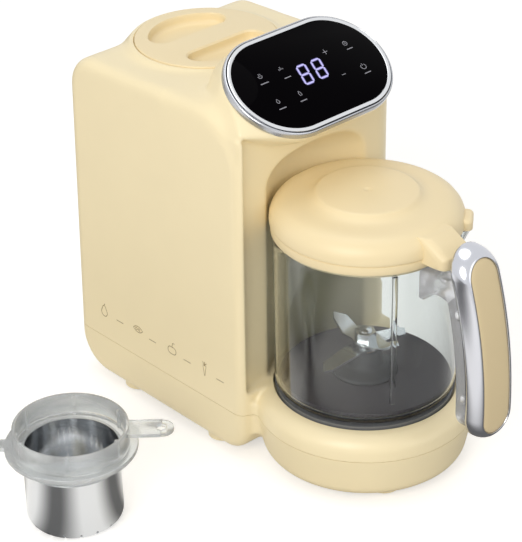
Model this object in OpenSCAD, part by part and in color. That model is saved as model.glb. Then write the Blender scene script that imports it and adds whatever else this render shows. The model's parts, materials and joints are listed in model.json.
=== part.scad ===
// Baby food maker: a blending jug on a round base in front of a tower that holds a steaming chamber.
// Z is up, the origin is on the counter under the jug's axis, and the tower stands towards +Y.

/* [Tower] */
// Width of the tower
tower_w = 142; // [138:1:156]
// Distance from the jug's axis to the front edge of the tower's side walls
tower_front = 38; // [36:0.5:40]
// Distance from the jug's axis to the back of the tower
tower_back = 199; // [196:1:212]
// Height of the tower's top, at its front
top_front_z = 241; // [239:0.5:243]
// Height of the tower's top, at its back
top_back_z = 236; // [233:0.5:238]
// Radius of the tower's front top corner, seen from the side
front_top_r = 38; // [32:1:42]
// Radius of the tower's back top corner
back_top_r = 22; // [16:1:24]
// Radius of the tower's back bottom corner
back_low_r = 26; // [18:1:28]
// Radius of the tower's front bottom corner
front_low_r = 17; // [12:1:20]
// Softening of the edges along the tower's side faces
edge_r = 7; // [4:0.5:9]
// Wall of the housing mouldings
wall = 2.5; // [2:0.1:3]
// Width of the strip that the side walls show at the front
strip_w = 5; // [4:0.5:7]
// Depth of the front wall behind the strips
recess_d = 6.5; // [5:0.5:8]
// Height of the recess's top edge
recess_top_z = 212; // [208:1:214]

/* [Base] */
// Gap under the housing, set by the feet
underside_z = 4; // [3:0.5:6]
// Height of the joint line between the two housings
seam_z = 34; // [30:1:36]
// Radius of the round base at the joint line
base_r = 70; // [69:0.5:73]
// Radius of the round base at its underside
base_low_r = 66; // [64:0.5:67]
// Radius of the rounded edge under the base
base_edge_r = 9; // [6:0.5:11]
// Height of the deck that the jug stands on
deck_z = 50; // [49:0.5:52]
// Depth of the jug's seat in the deck
seat_d = 3; // [2:0.25:4]
// Radius of the hollow blend between the base and the tower
neck_r = 4; // [3:0.5:6]
// Distance of the tower's feet from its side faces
foot_inset = 13; // [11:1:18]
// Distance from the jug's axis to the tower's front feet
foot_front_y = 71; // [66:1:80]
// Distance from the jug's axis to the tower's back feet
foot_back_y = 155; // [145:1:170]
// Radius of a foot pad
foot_r = 8; // [6:0.5:9]

/* [Control head] */
// Tilt of the control panel from level, in degrees
panel_tilt = 31; // [27:1:35]
// Distance from the jug's axis to the panel's centre
panel_y = 49.7; // [48:0.5:52]
// Height of the panel's centre
panel_z = 247.3; // [245:0.5:249]
// Length of the glass panel
panel_l = 112; // [104:1:116]
// Width of the glass panel
panel_w = 65; // [60:1:67]
// Width of the bright ring round the glass
bezel_w = 4.5; // [3.5:0.5:5]
// Height of the bright ring
bezel_h = 5; // [4:0.5:6]
// Thickness of the glass panel
glass_t = 2.5; // [2:0.25:3]

/* [Steam chamber] */
// Distance from the jug's axis to the chamber's axis
cap_y = 144.7; // [142:0.5:147]
// Radius of the cap
cap_r = 46; // [44:0.5:47]
// Height of the joint between the cap and its neck
cap_seam_z = 239.5; // [238.5:0.5:240.5]
// Height of the cap above its neck
cap_rise = 3; // [2:0.5:4]
// Width of the grip bar across the cap
bar_w = 23; // [18:1:26]
// Depth of the finger recesses beside the bar
grip_d = 9; // [7:0.5:10]
// Radius of the chamber above its shoulder
chamber_r = 41.8; // [41.5:0.1:42]
// Radius of the chamber below its shoulder
well_r = 37; // [36.5:0.5:38]
// Height of the shoulder that carries the basket's flange
shoulder_z = 196; // [190:1:200]
// Height of the chamber's floor
chamber_floor_z = 108; // [104:1:114]
// Sheet thickness of the chamber
sheet_t = 1.2; // [1:0.1:1.5]

/* [Jug] */
// Outer radius of the jug at its foot
jug_foot_r = 57.2; // [56:0.2:57.6]
// Outer radius of the jug at its rim
jug_r = 58.2; // [57.5:0.1:58.6]
// Wall of the glass
glass_wall = 3; // [2.5:0.25:3.5]
// Height of the glass rim
rim_z = 165; // [160:0.5:167]
// Radius of the lid
lid_r = 60; // [59.6:0.1:60.4]
// Height of the lid above the glass rim
lid_h = 21.5; // [19:0.5:23]
// Radius of the lid's raised middle
lid_disc_r = 32.3; // [28:0.5:36]
// Turn that frees the jug from the deck, in degrees
jug_turn = 52; // [40:1:55]

/* [Handle] */
// Bow radius of the handle's outer face, seen from the side
bow_r = 278; // [260:1:300]
// Distance from the jug's axis to the handle's outer face at its widest
handle_reach = 111; // [109:0.5:114]
// Height at which the handle stands out furthest
bow_z = 78; // [72:1:84]
// Width of the handle
handle_w = 34; // [30:1:36]
// Lowest point of the handle
handle_low_z = 58; // [56:1:64]
// Highest point of the handle
handle_top_z = 184; // [182:0.5:186]
// Depth of the bright frame
frame_d = 11.5; // [10:0.5:12.5]
// Width of the bright rim round the insert
frame_rim = 3.6; // [3:0.2:4.5]
// Depth of the clear back of the handle
clear_d = 10; // [8:0.5:11]

/* [Drive] */
// Radius of the motor's rotor shell
rotor_r = 36; // [33:0.5:37]
// Radius of the stator core
stator_r = 31; // [28:0.5:31.5]
// Height of the stator core
stator_h = 10; // [8:0.5:11]
// Radius of the motor shaft
shaft_r = 3; // [2.5:0.25:3.5]
// Radius of the blade spindle
spindle_r = 4; // [3.5:0.25:4.5]
// Number of teeth on the drive coupling
coupling_teeth = 6; // [4:1:8]
// Length of one blade arm from the spindle's axis
blade_l = 37; // [30:1:42]
// Thickness of the blades
blade_t = 1.6; // [1.2:0.1:2]

/* [Basket] */
// Distance of the basket from the machine's middle, to the left
basket_x = -182; // [-215:1:-175]
// Distance of the basket towards the back
basket_y = 70; // [30:1:80]
// Direction in which the basket's handle points, in degrees
basket_turn = -42; // [-60:1:-20]
// Outer radius of the steel cup
cup_r = 30; // [28:0.5:31]
// Outer radius of the clear collar
collar_r = 35.5; // [34:0.5:36]
// Outer radius of the collar's flange
flange_r = 40.8; // [40:0.1:41]
// Height of the whole basket
basket_h = 66; // [60:1:72]
// Height of the collar above its flange
collar_up = 13; // [11:0.5:15]
// Length of the flat handle beyond the flange
tab_l = 22; // [16:1:30]

/* [Power] */
// Radius of the cord's hole in its gland
cord_r = 3.3; // [2.8:0.1:4]
// Length of the cord's hole
gland_l = 16; // [12:1:20]
// Height of the gland
gland_z = 58; // [52:1:70]
// Distance of the gland from the middle of the back
gland_x = 40; // [20:1:48]

/* [Hidden] */

$fn = 96;
soft_fn = 32;
play = 0.3;          // clearance between pieces that move past each other
run_fit = 0.03;      // radial clearance of a shaft in its bearing
seat_fit = 0.05;     // gap of pieces that are fixed to each other
eps = 0.02;

cream = "#F3E3B4";
dark = "#3A3A3D";
steel = "#C4C7CA";
clear_c = [0.86, 0.92, 0.93, 0.35];

half_w = tower_w / 2;
wall_y = tower_front + recess_d;                    // front wall between the side strips
niche_r = lid_r + 1.6;                              // hollow round the jug in the front wall
niche_top_z = rim_z + lid_h + 17;
seat_z = deck_z - seat_d;
seat_r = jug_foot_r + 1;
floor_z = underside_z + wall;                       // inside floor of the lower housing

// Points of an arc from angle a to angle b
function arc(c, r, a, b, n = 8) = [for (i = [0:n]) let (t = a + (b - a) * i / n) [c[0] + r * cos(t), c[1] + r * sin(t)]];
// Point on a circle round the jug's axis
function polar(r, a) = [r * cos(a), r * sin(a)];

module ring(ro, ri, h, z = 0) {
  translate([0, 0, z]) difference() {
    cylinder(r = ro, h = h);
    translate([0, 0, -1]) cylinder(r = ri, h = h + 2);
  }
}

// A disc that lies across the tower, with softened rims: one corner of the side profile
module corner_disc(y, z, r, w, soft) {
  for (s = [-1, 1]) translate([s * (w - soft), y, z]) rotate([0, 90, 0])
    rotate_extrude($fn = 40) translate([r - soft, 0]) circle(r = soft, $fn = 20);
}

// The whole tower, pulled in by an inset
module tower_block(inset = 0) {
  soft = max(edge_r - inset, 1.5);
  hull() {
    corner_disc(tower_front + front_top_r, top_front_z - front_top_r, front_top_r - inset, half_w - inset, soft);
    corner_disc(tower_back - back_top_r, top_back_z - back_top_r, back_top_r - inset, half_w - inset, soft);
    corner_disc(tower_back - back_low_r, underside_z + back_low_r, back_low_r - inset, half_w - inset, soft);
    corner_disc(tower_front + front_low_r, underside_z + front_low_r, front_low_r - inset, half_w - inset, soft);
  }
}

module above(z, h = 300) translate([-150, -150, z]) cube([300, 400, h]);
module below(z, h = 300) translate([-150, -150, z - h]) cube([300, 400, h]);

// Stadium outline, long along X
module stadium(l, w) {
  square([l - w, w], center = true);
  for (s = [-1, 1]) translate([s * (l - w) / 2, 0]) circle(r = w / 2);
}

// Places its children in the panel's own frame: Z out of the glass, Y up the slope
module on_panel() translate([0, panel_y, panel_z]) rotate([panel_tilt, 0, 0]) children();

bezel_l = panel_l + 2 * bezel_w;
bezel_b = panel_w + 2 * bezel_w;
pod_depth = 26;                                     // from the glass to the head's rounded back
pod_lift = 7.8;                                     // how far the head's back lies up the slope

module pod_block(inset = 0) {
  hull() on_panel() {
    translate([0, 0, -bezel_h - 3]) linear_extrude(3) stadium(bezel_l - 2 * inset, bezel_b - 2 * inset, $fn = soft_fn * 2);
    translate([0, pod_lift * 0.66, -pod_depth * 0.7]) linear_extrude(1)
      stadium(bezel_l - 2 - 2 * inset, bezel_b - 2 - 2 * inset, $fn = soft_fn * 2);
    translate([0, pod_lift, -pod_depth + inset]) linear_extrude(1)
      stadium(bezel_l - 14 - 2 * inset, bezel_b - 14 - 2 * inset, $fn = soft_fn * 2);
  }
}

// Hollow blend between the round base and the tower's front, on both sides
module neck_fill(r_base, z0, z1) {
  cx = sqrt(pow(r_base + neck_r, 2) - pow(tower_front - neck_r, 2));
  k = r_base / (r_base + neck_r);
  for (s = [0, 1]) mirror([s, 0, 0]) translate([0, 0, z0]) linear_extrude(z1 - z0) difference() {
    polygon([[cx - 14, tower_front + 9], [cx, tower_front + 9], [cx, tower_front - neck_r],
      [cx * k, (tower_front - neck_r) * k], [cx - 14, tower_front]]);
    translate([cx, tower_front - neck_r]) circle(r = neck_r);
  }
}

// ---- Housings ----

deck_edge_r = 12;
neck_top_r = cap_r + 2.4;

module base_low(inset = 0) rotate_extrude() polygon(concat(
  [[0, underside_z + inset]],
  arc([base_low_r - base_edge_r, underside_z + base_edge_r], base_edge_r - inset, -90, -8),
  [[base_r - inset, seam_z + min(inset, 1)], [0, seam_z + min(inset, 1)]]));

module deck_high() rotate_extrude() polygon(concat(
  [[0, seam_z], [base_r, seam_z]],
  arc([base_r - deck_edge_r, deck_z - deck_edge_r], deck_edge_r, 14, 72),
  [[seat_r + 1, deck_z], [0, deck_z]]));

// Raised mark on the deck's edge, one for the locked jug and one for the free jug
mark_turn = 2.4;

module deck_mark(a) rotate(a - mark_turn / 2) rotate_extrude(angle = mark_turn) polygon(concat(
  [[0, seam_z], [base_r - 4, seam_z]],
  arc([base_r - deck_edge_r, deck_z - deck_edge_r], deck_edge_r + 0.4, 50, 72), [[0, deck_z]]));

// Room under the deck, for the motor
module deck_room() rotate_extrude() polygon([[0, seam_z - 1], [base_r - wall, seam_z - 1],
  [base_r - wall, seam_z + 2], [base_r - wall - 4, seat_z - wall], [0, seat_z - wall]]);

// Raised ring round the cap, running softly into the tower's top
module cap_neck() {
  blend = min(9, tower_back - cap_y - neck_top_r);
  translate([0, cap_y, 0]) rotate_extrude() polygon(concat(
    [[0, cap_seam_z - 22], [neck_top_r + blend, cap_seam_z - 22], [neck_top_r + blend, cap_seam_z - blend + 2]],
    arc([neck_top_r + blend, cap_seam_z + 1], blend, 258, 190, 6),
    [[neck_top_r - 0.5, cap_seam_z], [0, cap_seam_z]]));
}

module jug_niche(grow = 0, z0 = seat_z) {
  round_r = 20;
  translate([0, 0, z0]) cylinder(r = niche_r + grow, h = niche_top_z - round_r - z0);
  translate([0, 0, niche_top_z - round_r - eps]) rotate_extrude() polygon(concat([[0, 0]],
    arc([niche_r + grow - round_r, 0], round_r, 0, 90), [[0, round_r]]));
}

ledge_z = cap_seam_z - 4.5;                         // ledge that the cap stands on
ledge_r = chamber_r + sheet_t + play;
hang_z = ledge_z - 12;                              // underside of the ring that the chamber hangs from
hang_r = ledge_r + 4;
screw_r = 1.5;                                      // housing and chamber screws
chamber_screw_ring = ledge_r + 5;
chamber_ear_r = 4.2;

boss_r = 4.5;
post_sites = [for (s = [-1, 1]) for (y = [tower_front + 30, tower_back - 22]) [s * (half_w - 16), y]];
base_posts = [for (a = [215, 325]) polar(base_r - 16, a)];
board_w = tower_w - 42;
board_y = tower_front + 46;
board_l = 96;
board_sites = [for (s = [-1, 1]) for (y = [board_y + 8, board_y + board_l - 8]) [s * (board_w / 2 - 6), y]];

module upper_housing() color(cream) difference() {
  union() {
    difference() {
      union() {
        intersection() {
          tower_block();
          above(seam_z);
        }
        pod_block();
        deck_high();
        for (a = [-90, -90 - jug_turn]) deck_mark(a);
        cap_neck();
        neck_fill(base_r - 1.5, seam_z, seam_z + 8);
      }
      // front wall set back between the strips, and the hollow round the jug
      translate([-(half_w - strip_w), tower_front - 20, deck_z])
        cube([tower_w - 2 * strip_w, 20 + recess_d, recess_top_z - deck_z]);
      jug_niche(z0 = deck_z);
      // room inside
      difference() {
        intersection() {
          tower_block(wall);
          above(seam_z - 1);
        }
        translate([-(half_w - strip_w + wall), 0, deck_z - wall])
          cube([tower_w - 2 * strip_w + 2 * wall, wall_y + wall, recess_top_z - deck_z + 2 * wall]);
        jug_niche(wall, deck_z - wall);
      }
      deck_room();
      difference() {
        pod_block(wall);
        jug_niche(wall, deck_z);
        translate([-half_w, 0, recess_top_z - 40]) cube([tower_w, wall_y + wall, 40 + wall]);
      }
      // window for the control panel
      on_panel() translate([0, 0, -bezel_h - 6]) linear_extrude(40) stadium(panel_l, panel_w);
    }
    // ring that the chamber hangs from, under the cap's ledge
    translate([0, cap_y, 0]) {
      ring(hang_r, ledge_r - eps, cap_seam_z - hang_z - 2, hang_z);
      for (i = [0:3]) rotate(45 + 90 * i) translate([chamber_screw_ring, 0, hang_z]) cylinder(r = chamber_ear_r, h = cap_seam_z - hang_z - 2);
    }
    // posts for the housing screws
    for (p = post_sites) translate([p[0], p[1], seam_z + 8]) cylinder(r = boss_r, h = 30);
    for (p = post_sites) translate([p[0] > 0 ? p[0] : -half_w + wall / 2, p[1] - 1.5, seam_z + 8])
      cube([half_w - wall / 2 - abs(p[0]), 3, 30]);
    for (p = base_posts) translate([p[0], p[1], seam_z]) cylinder(r = boss_r, h = seat_z - seam_z - 1);
    // guide of the interlock's plunger
    translate([plunger_at[0], plunger_at[1], guide_low_z]) cylinder(r = guide_r + 1.2, h = seat_z - 1 - guide_low_z);
  }
  // the panel ring stands on the head's rim
  on_panel() translate([0, 0, -bezel_h]) linear_extrude(60) stadium(bezel_l + 2, bezel_b + 2);
  // the jug's seat and the hole for the drive
  translate([0, 0, seat_z]) cylinder(r = seat_r, h = 100);
  translate([0, 0, seat_z - 20]) cylinder(r = drive_hole_r, h = 40);
  translate([plunger_at[0], plunger_at[1], seat_z - 20]) cylinder(r = plunger_r + play, h = 40);
  translate([plunger_at[0], plunger_at[1], guide_low_z - 1]) cylinder(r = guide_r, h = seat_z - wall - guide_low_z + 1);
  // mouth of the steaming chamber
  translate([0, cap_y, ledge_z]) cylinder(r = cap_r + 0.4, h = 60);
  translate([0, cap_y, hang_z - 60]) cylinder(r = ledge_r, h = 100);
  // holes for the screws and for the gland
  for (p = post_sites) translate([p[0], p[1], seam_z]) cylinder(r = screw_r, h = 26);
  for (p = base_posts) translate([p[0], p[1], seam_z - 1]) cylinder(r = screw_r, h = 9);
  for (i = [0:3]) translate([0, cap_y, hang_z - 1]) rotate(45 + 90 * i)
    translate([chamber_screw_ring, 0, 0]) cylinder(r = screw_r, h = 7);
  translate([gland_x, tower_back + 5, gland_z]) rotate([90, 0, 0]) cylinder(r = gland_r, h = 20);
}

drive_hole_r = 17;
plunger_r = 2.5;
plunger_at = polar(jug_foot_r - 6, -20);
guide_r = plunger_r + 1.6 + play;                   // guide round the plunger's collar and its spring
guide_low_z = seam_z - 2;

gland_r = cord_r + 2.6;

module lower_housing() color(cream) {
  difference() {
    union() {
      difference() {
        union() {
          intersection() {
            tower_block();
            below(seam_z);
          }
          base_low();
          neck_fill(base_r, underside_z + base_edge_r + 6, seam_z);
        }
        intersection() {
          tower_block(wall);
          below(seam_z + 1);
        }
        base_low(wall);
        translate([0, 0, seam_z - 1]) cylinder(r = base_r - wall, h = 3);
      }
      // moulded feet
      for (p = foot_sites) translate([p[0], p[1], 1.5]) cylinder(r = foot_r + 2, h = floor_z - 1.5);
      // posts under the upper housing's own posts, the board and the motor plate
      for (p = post_sites) translate([p[0], p[1], floor_z - 1]) cylinder(r = boss_r, h = seam_z + 8 - floor_z + 1);
      for (p = base_posts) translate([p[0], p[1], floor_z - 1]) cylinder(r = boss_r, h = seam_z - floor_z + 1);
      for (p = board_sites) translate([p[0], p[1], floor_z - 1]) cylinder(r = 4, h = board_z - floor_z + 1);
      for (p = mount_sites) translate([p[0], p[1], floor_z - 1]) cylinder(r = 4, h = mount_z - 3 - floor_z + 1);
      translate([plunger_at[0], plunger_at[1], floor_z - 1]) cylinder(r = 3.2, h = spring_low_z - floor_z + 1);
    }
    for (p = foot_sites) translate([p[0], p[1], -1]) cylinder(r = foot_r, h = 1 + pad_up);
    for (p = post_sites) translate([p[0], p[1], 0]) {
      translate([0, 0, -1]) cylinder(r = screw_r + 0.3, h = 60);
      translate([0, 0, -1]) cylinder(r = screw_head_r + 0.4, h = seam_z - 8 + 1);
    }
    for (p = base_posts) translate([p[0], p[1], 0]) {
      translate([0, 0, -1]) cylinder(r = screw_r + 0.3, h = 60);
      translate([0, 0, -1]) cylinder(r = screw_head_r + 0.4, h = seam_z - 8 + 1);
    }
    for (p = board_sites) translate([p[0], p[1], floor_z]) cylinder(r = small_screw_r, h = 30);
    for (p = mount_sites) translate([p[0], p[1], floor_z]) cylinder(r = small_screw_r, h = 30);
    // vents under the motor and under the board
    for (i = [0:11]) rotate(30 * i) translate([24, 0, -1]) rotate(90) linear_extrude(12) stadium(9, 2.6, $fn = 24);
    for (i = [-4:4]) translate([i * 8, 132, -1]) rotate(90) linear_extrude(12) stadium(40, 3, $fn = 24);
  }
}

pad_up = 2.6;
foot_sites = concat([for (s = [-1, 1]) for (y = [foot_front_y, foot_back_y]) [s * (half_w - foot_inset), y]],
  [for (a = [240, 300]) polar(base_low_r - 18, a)], [[0, 0]]);

module foot_pads() color("#E6D9B4") for (p = foot_sites) translate([p[0], p[1], 0]) difference() {
  cylinder(r = foot_r - 0.2, h = pad_up);
  translate([0, 0, -1]) ring(foot_r - 2, foot_r - 3, 1.6);
}

screw_head_r = 2.8;

// One screw, head down, with its tip up
module screw(l, r = screw_r, head = screw_head_r) {
  difference() {
    cylinder(r = head, h = 2);
    for (a = [0, 90]) rotate(a) translate([-head * 0.7, -0.4, -1]) cube([head * 1.4, 0.8, 1.9]);
  }
  cylinder(r = r, h = l);
}

module housing_screws() color(steel) {
  for (p = post_sites) translate([p[0], p[1], seam_z - 8 - 2]) screw(26);
  for (p = base_posts) translate([p[0], p[1], seam_z - 8 - 2]) screw(17);
}

// ---- Control head ----

module head_bezel() color("#E8EAEC") on_panel() difference() {
  translate([0, 0, -bezel_h]) {
    linear_extrude(bezel_h - 1) stadium(bezel_l, bezel_b);
    linear_extrude(bezel_h - 0.4) stadium(bezel_l - 1.2, bezel_b - 1.2);
    linear_extrude(bezel_h) stadium(bezel_l - 2.6, bezel_b - 2.6);
    // lip inside the head's window
    translate([0, 0, -5]) linear_extrude(6) stadium(panel_l - 2 * play, panel_w - 2 * play);
  }
  translate([0, 0, -glass_t]) linear_extrude(20) stadium(panel_l, panel_w);
  translate([0, 0, -30]) linear_extrude(40) stadium(panel_l - 6, panel_w - 6);
}

module panel_glass() color("#0B0B0D") on_panel() translate([0, 0, -glass_t])
  linear_extrude(glass_t - 0.3) stadium(panel_l - 0.2, panel_w - 0.2);

tray_h = 7.5;

module panel_tray() color(dark) on_panel() difference() {
  translate([0, 0, -glass_t - tray_h]) linear_extrude(tray_h) stadium(panel_l - 6.4, panel_w - 6.4);
  translate([0, 0, -glass_t - tray_h + 1.5]) linear_extrude(tray_h) stadium(panel_l - 9.4, panel_w - 9.4);
  translate([-15, -3, -glass_t - tray_h - 1]) cube([30, 6, 4]);
}

display_z = -glass_t - tray_h + 1.5;
digits_x = 2.6;

module display_board() color("#2F6B45") on_panel() difference() {
  translate([0, 0, display_z]) linear_extrude(board_t) stadium(panel_l - 10, panel_w - 10);
  translate([-13, -2, display_z - 1]) cube([26, 4, 4]);
}

module digit_module() color("#22222A") on_panel() {
  difference() {
    translate([digits_x - 13, -10, display_z + board_t]) cube([26, 20, -glass_t - display_z - board_t]);
    for (s = [-1, 1]) translate([digits_x + s * 6 - 5, -8, -glass_t - 0.6]) cube([10, 16, 2]);
  }
  // sprung touch pads under the keys
  for (x = [-34, -17.5, 20.5, 37.5]) for (y = [-10, 10]) translate([x, y, display_z + board_t])
    cylinder(r = 3.5, h = -glass_t - display_z - board_t);
}

// ---- Steam chamber and heater ----

chamber_flange_t = 2;

module chamber() color(steel) translate([0, cap_y, 0]) difference() {
  union() {
    translate([0, 0, hang_z - chamber_flange_t]) {
      cylinder(r = ledge_r + 2.2, h = chamber_flange_t);
      for (i = [0:3]) rotate(45 + 90 * i) translate([chamber_screw_ring, 0, 0]) cylinder(r = chamber_ear_r, h = chamber_flange_t);
    }
    translate([0, 0, shoulder_z - sheet_t]) cylinder(r = chamber_r + sheet_t, h = ledge_z - 1 - shoulder_z + sheet_t);
    translate([0, 0, chamber_floor_z - sheet_t]) cylinder(r = well_r + sheet_t, h = shoulder_z - chamber_floor_z);
    translate([0, 0, chamber_floor_z - sheet_t]) cylinder(r = well_r + 9, h = sheet_t);
  }
  translate([0, 0, shoulder_z]) cylinder(r = chamber_r, h = 100);
  translate([0, 0, chamber_floor_z]) cylinder(r = well_r, h = 200);
  for (i = [0:3]) rotate(45 + 90 * i) translate([chamber_screw_ring, 0, hang_z - 10]) cylinder(r = screw_r + 0.2, h = 12);
  for (i = [0:2]) rotate(120 * i) translate([well_r + 5.5, 0, chamber_floor_z - 10]) cylinder(r = screw_r, h = 12);
}

module chamber_gasket() color("#D9DCDD") translate([0, cap_y, 0])
  ring(ledge_r - 0.1, chamber_r, 1, ledge_z - 1);

module chamber_screws() color(steel) translate([0, cap_y, 0]) {
  for (i = [0:3]) rotate(45 + 90 * i) translate([chamber_screw_ring, 0, hang_z - chamber_flange_t - 2]) screw(8);
  for (i = [0:2]) rotate(120 * i) translate([well_r + 5.5, 0, bracket_z - 2])
    screw(chamber_floor_z - bracket_z + 2.5);
}

plate_h = 7;
plate_low_z = chamber_floor_z - sheet_t - plate_h;

module heating_plate() color("#B8BBBE") translate([0, cap_y, plate_low_z]) difference() {
  union() {
    cylinder(r = well_r + 1, h = plate_h);
    for (i = [0:2]) rotate(120 * i) translate([well_r + 5.5, 0, 0]) {
      cylinder(r = 5, h = plate_h);
      translate([-8, -4.5, 0]) cube([8, 9, plate_h]);
    }
  }
  for (i = [0:2]) rotate(120 * i) translate([well_r + 5.5, 0, -1]) cylinder(r = screw_r, h = plate_h + 2);
  // groove for the upper half of the heating tube
  ring(tube_ring_r + tube_r + seat_fit, tube_ring_r - tube_r - seat_fit, tube_r + seat_fit + 1, -1);
}

tube_ring_r = 25;
tube_r = 3.2;

module heating_tube() color("#8A8D90") translate([0, cap_y, plate_low_z]) {
  rotate(15) rotate_extrude(angle = 330) translate([tube_ring_r, 0]) circle(r = tube_r);
  for (s = [-1, 1]) rotate(s * 20) translate([tube_ring_r, 0, -tube_tail]) cylinder(r = tube_r - 0.4, h = tube_tail + 1);
}

tube_tail = 14;
bracket_t = 1.5;
bracket_z = plate_low_z - tube_r - bracket_t;       // plate that clamps the tube up into its groove

module heater_bracket() color("#AEB1B4") translate([0, cap_y, bracket_z]) difference() {
  union() {
    for (i = [0:2]) rotate(120 * i) {
      translate([0, -4.5, 0]) cube([well_r + 5.5, 9, bracket_t]);
      translate([well_r + 5.5, 0, 0]) cylinder(r = 5, h = bracket_t + tube_r);
    }
    cylinder(r = 14, h = bracket_t);
  }
  for (i = [0:2]) rotate(120 * i) translate([well_r + 5.5, 0, -1]) cylinder(r = screw_r, h = 10);
  translate([0, 0, -1]) cylinder(r = stat_r, h = 10);
}

stat_r = 8;

module thermostat() color("#D9D2C4") translate([0, cap_y, plate_low_z]) {
  translate([0, 0, -12]) cylinder(r = stat_r, h = 12);
  for (s = [-1, 1]) translate([s * 4 - 0.4, -3, -19]) cube([0.8, 6, 8]);
}

fuse_r = 2.4;

module thermal_fuse() color("#C9A36A") translate([0, cap_y, plate_low_z - fuse_r]) rotate(60) {
  translate([16, -8, 0]) rotate([-90, 0, 0]) cylinder(r = fuse_r, h = 16);
  for (y = [-5, 3]) translate([16 - fuse_r, y, 0]) cube([2 * fuse_r, 2, fuse_r]);
}

shield_z = plate_low_z - 26;

shield_t = 1;
shield_post_r = 3;
shield_hole_ring = 14;

module heat_shield() color("#C9CCCE") translate([0, cap_y, shield_z]) difference() {
  union() {
    cylinder(r = well_r + 9, h = shield_t);
    for (i = [0:2]) rotate(120 * i + 60) translate([well_r + 5.5, 0, 0])
      cylinder(r = shield_post_r, h = chamber_floor_z - sheet_t - shield_z);
  }
  for (i = [0:7]) rotate(45 * i) translate([shield_hole_ring, 0, -1]) cylinder(r = shield_post_r, h = shield_t + 2);
}

// ---- Power board ----

board_z = 15;
board_t = 1.6;
board_top = board_z + board_t;
small_screw_r = 1.2;
board_screw_l = 9;

module power_board() color("#2F6B45") difference() {
  translate([-board_w / 2, board_y, board_z]) cube([board_w, board_l, board_t]);
  for (p = board_sites) translate([p[0], p[1], 0]) cylinder(r = small_screw_r + 0.2, h = board_z + 20);
}

module board_screws() color(steel) for (p = board_sites) translate([p[0], p[1], board_top + 2])
  rotate([180, 0, 0]) screw(board_screw_l, small_screw_r, 2.5);

coil_l = 26;
coil_w = 24;
coil_h = 20;
core_stand = 4;

module transformer() color("#4A4238") translate([-board_w / 2 + 16, board_y + 20, board_top]) {
  cube([coil_l, coil_w, coil_h]);
  translate([core_stand - 1, -core_stand, core_stand - 1])
    cube([coil_l - 2 * core_stand + 2, coil_w + 2 * core_stand, coil_h - 2 * core_stand + 2]);
}

module relays() color("#2F6FB2") for (i = [0, 1]) translate([board_w / 2 - 24 - 18 * i, board_y + 16, board_top])
  cube([14, 18, 15]);

module capacitors() color("#5A4B7A") translate([0, board_y + board_l - 30, board_top]) {
  for (i = [0, 1]) translate([14 + 16 * i, 0, 0]) cylinder(r = 6, h = 22);
  translate([-30, -4, 0]) cube([22, 8, 14]);
}

module cord_gland() color("#4A4A4C") translate([gland_x, 0, gland_z]) difference() {
  union() {
    translate([0, tower_back - wall - 4, 0]) rotate([-90, 0, 0]) cylinder(r = gland_r - 0.1, h = wall + 8);
    translate([0, tower_back, 0]) rotate([-90, 0, 0]) cylinder(r = gland_r + 1.6, h = 2);
    translate([0, tower_back - wall - 2, 0]) rotate([-90, 0, 0]) cylinder(r = gland_r + 1.4, h = 2);
    translate([0, tower_back + 2, 0]) rotate([-90, 0, 0]) cylinder(r1 = gland_r, r2 = cord_r + 1.2, h = gland_l - wall - 6);
  }
  translate([0, tower_back - wall - 10, 0]) rotate([-90, 0, 0]) cylinder(r = cord_r, h = 60);
}

// ---- Motor ----

mount_z = 13;                                       // underside of the motor's plate
mount_t = 2;
motor_screw_l = 12;
mount_r = rotor_r + 10;
plate_r = mount_r - 14;
plate_ear_w = 12;
mount_sites = [for (i = [0:2]) polar(mount_r - 4.5, 30 + 120 * i)];
tube_ro = 9;
bearing_r = 6.5;
bearing_t = 4;
stator_z = mount_z + mount_t + 2;
tube_top = stator_z + stator_h + 2;
rotor_top = tube_top + 3.2;

module motor_mount() color("#B9BCC0") difference() {
  union() {
    translate([0, 0, mount_z]) cylinder(r = plate_r, h = mount_t);
    for (i = [0:2]) rotate(30 + 120 * i) {
      translate([0, -plate_ear_w / 2, mount_z]) cube([mount_r - 4.5, plate_ear_w, mount_t]);
      translate([mount_r - 4.5, 0, mount_z]) cylinder(r = plate_ear_w / 2 + 0.7, h = mount_t);
    }
    translate([0, 0, mount_z - 2]) cylinder(r = tube_ro + 2, h = 2);
    translate([0, 0, mount_z]) cylinder(r = tube_ro, h = tube_top - mount_z);
    translate([0, 0, mount_z]) cylinder(r = tube_ro + 3, h = stator_z - mount_z);
  }
  translate([0, 0, mount_z - 10]) cylinder(r = shaft_r + 1.5, h = 100);
  translate([0, 0, mount_z - 3]) cylinder(r = bearing_r, h = bearing_t + 1);
  translate([0, 0, tube_top - bearing_t]) cylinder(r = bearing_r, h = 20);
  for (p = mount_sites) translate([p[0], p[1], 0]) cylinder(r = grommet_r, h = 40);
  for (i = [0:5]) rotate(60 * i + 30) translate([24, 0, 0]) cylinder(r = 5, h = 40);
}

grommet_r = 3.2;

module mount_grommets() color("#2B2B2D") for (p = mount_sites) translate([p[0], p[1], mount_z]) difference() {
  union() {
    cylinder(r = grommet_r, h = mount_t);
    translate([0, 0, -3]) cylinder(r = grommet_r + 1, h = 3);
    translate([0, 0, mount_t]) cylinder(r = grommet_r + 1, h = 1.5);
  }
  translate([0, 0, -10]) cylinder(r = 1.6, h = 30);
}

module motor_screws() color(steel) for (p = mount_sites) translate([p[0], p[1], mount_z + mount_t + 1.5 + 2])
  rotate([180, 0, 0]) screw(motor_screw_l, small_screw_r, 3);

poles = 9;

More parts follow.
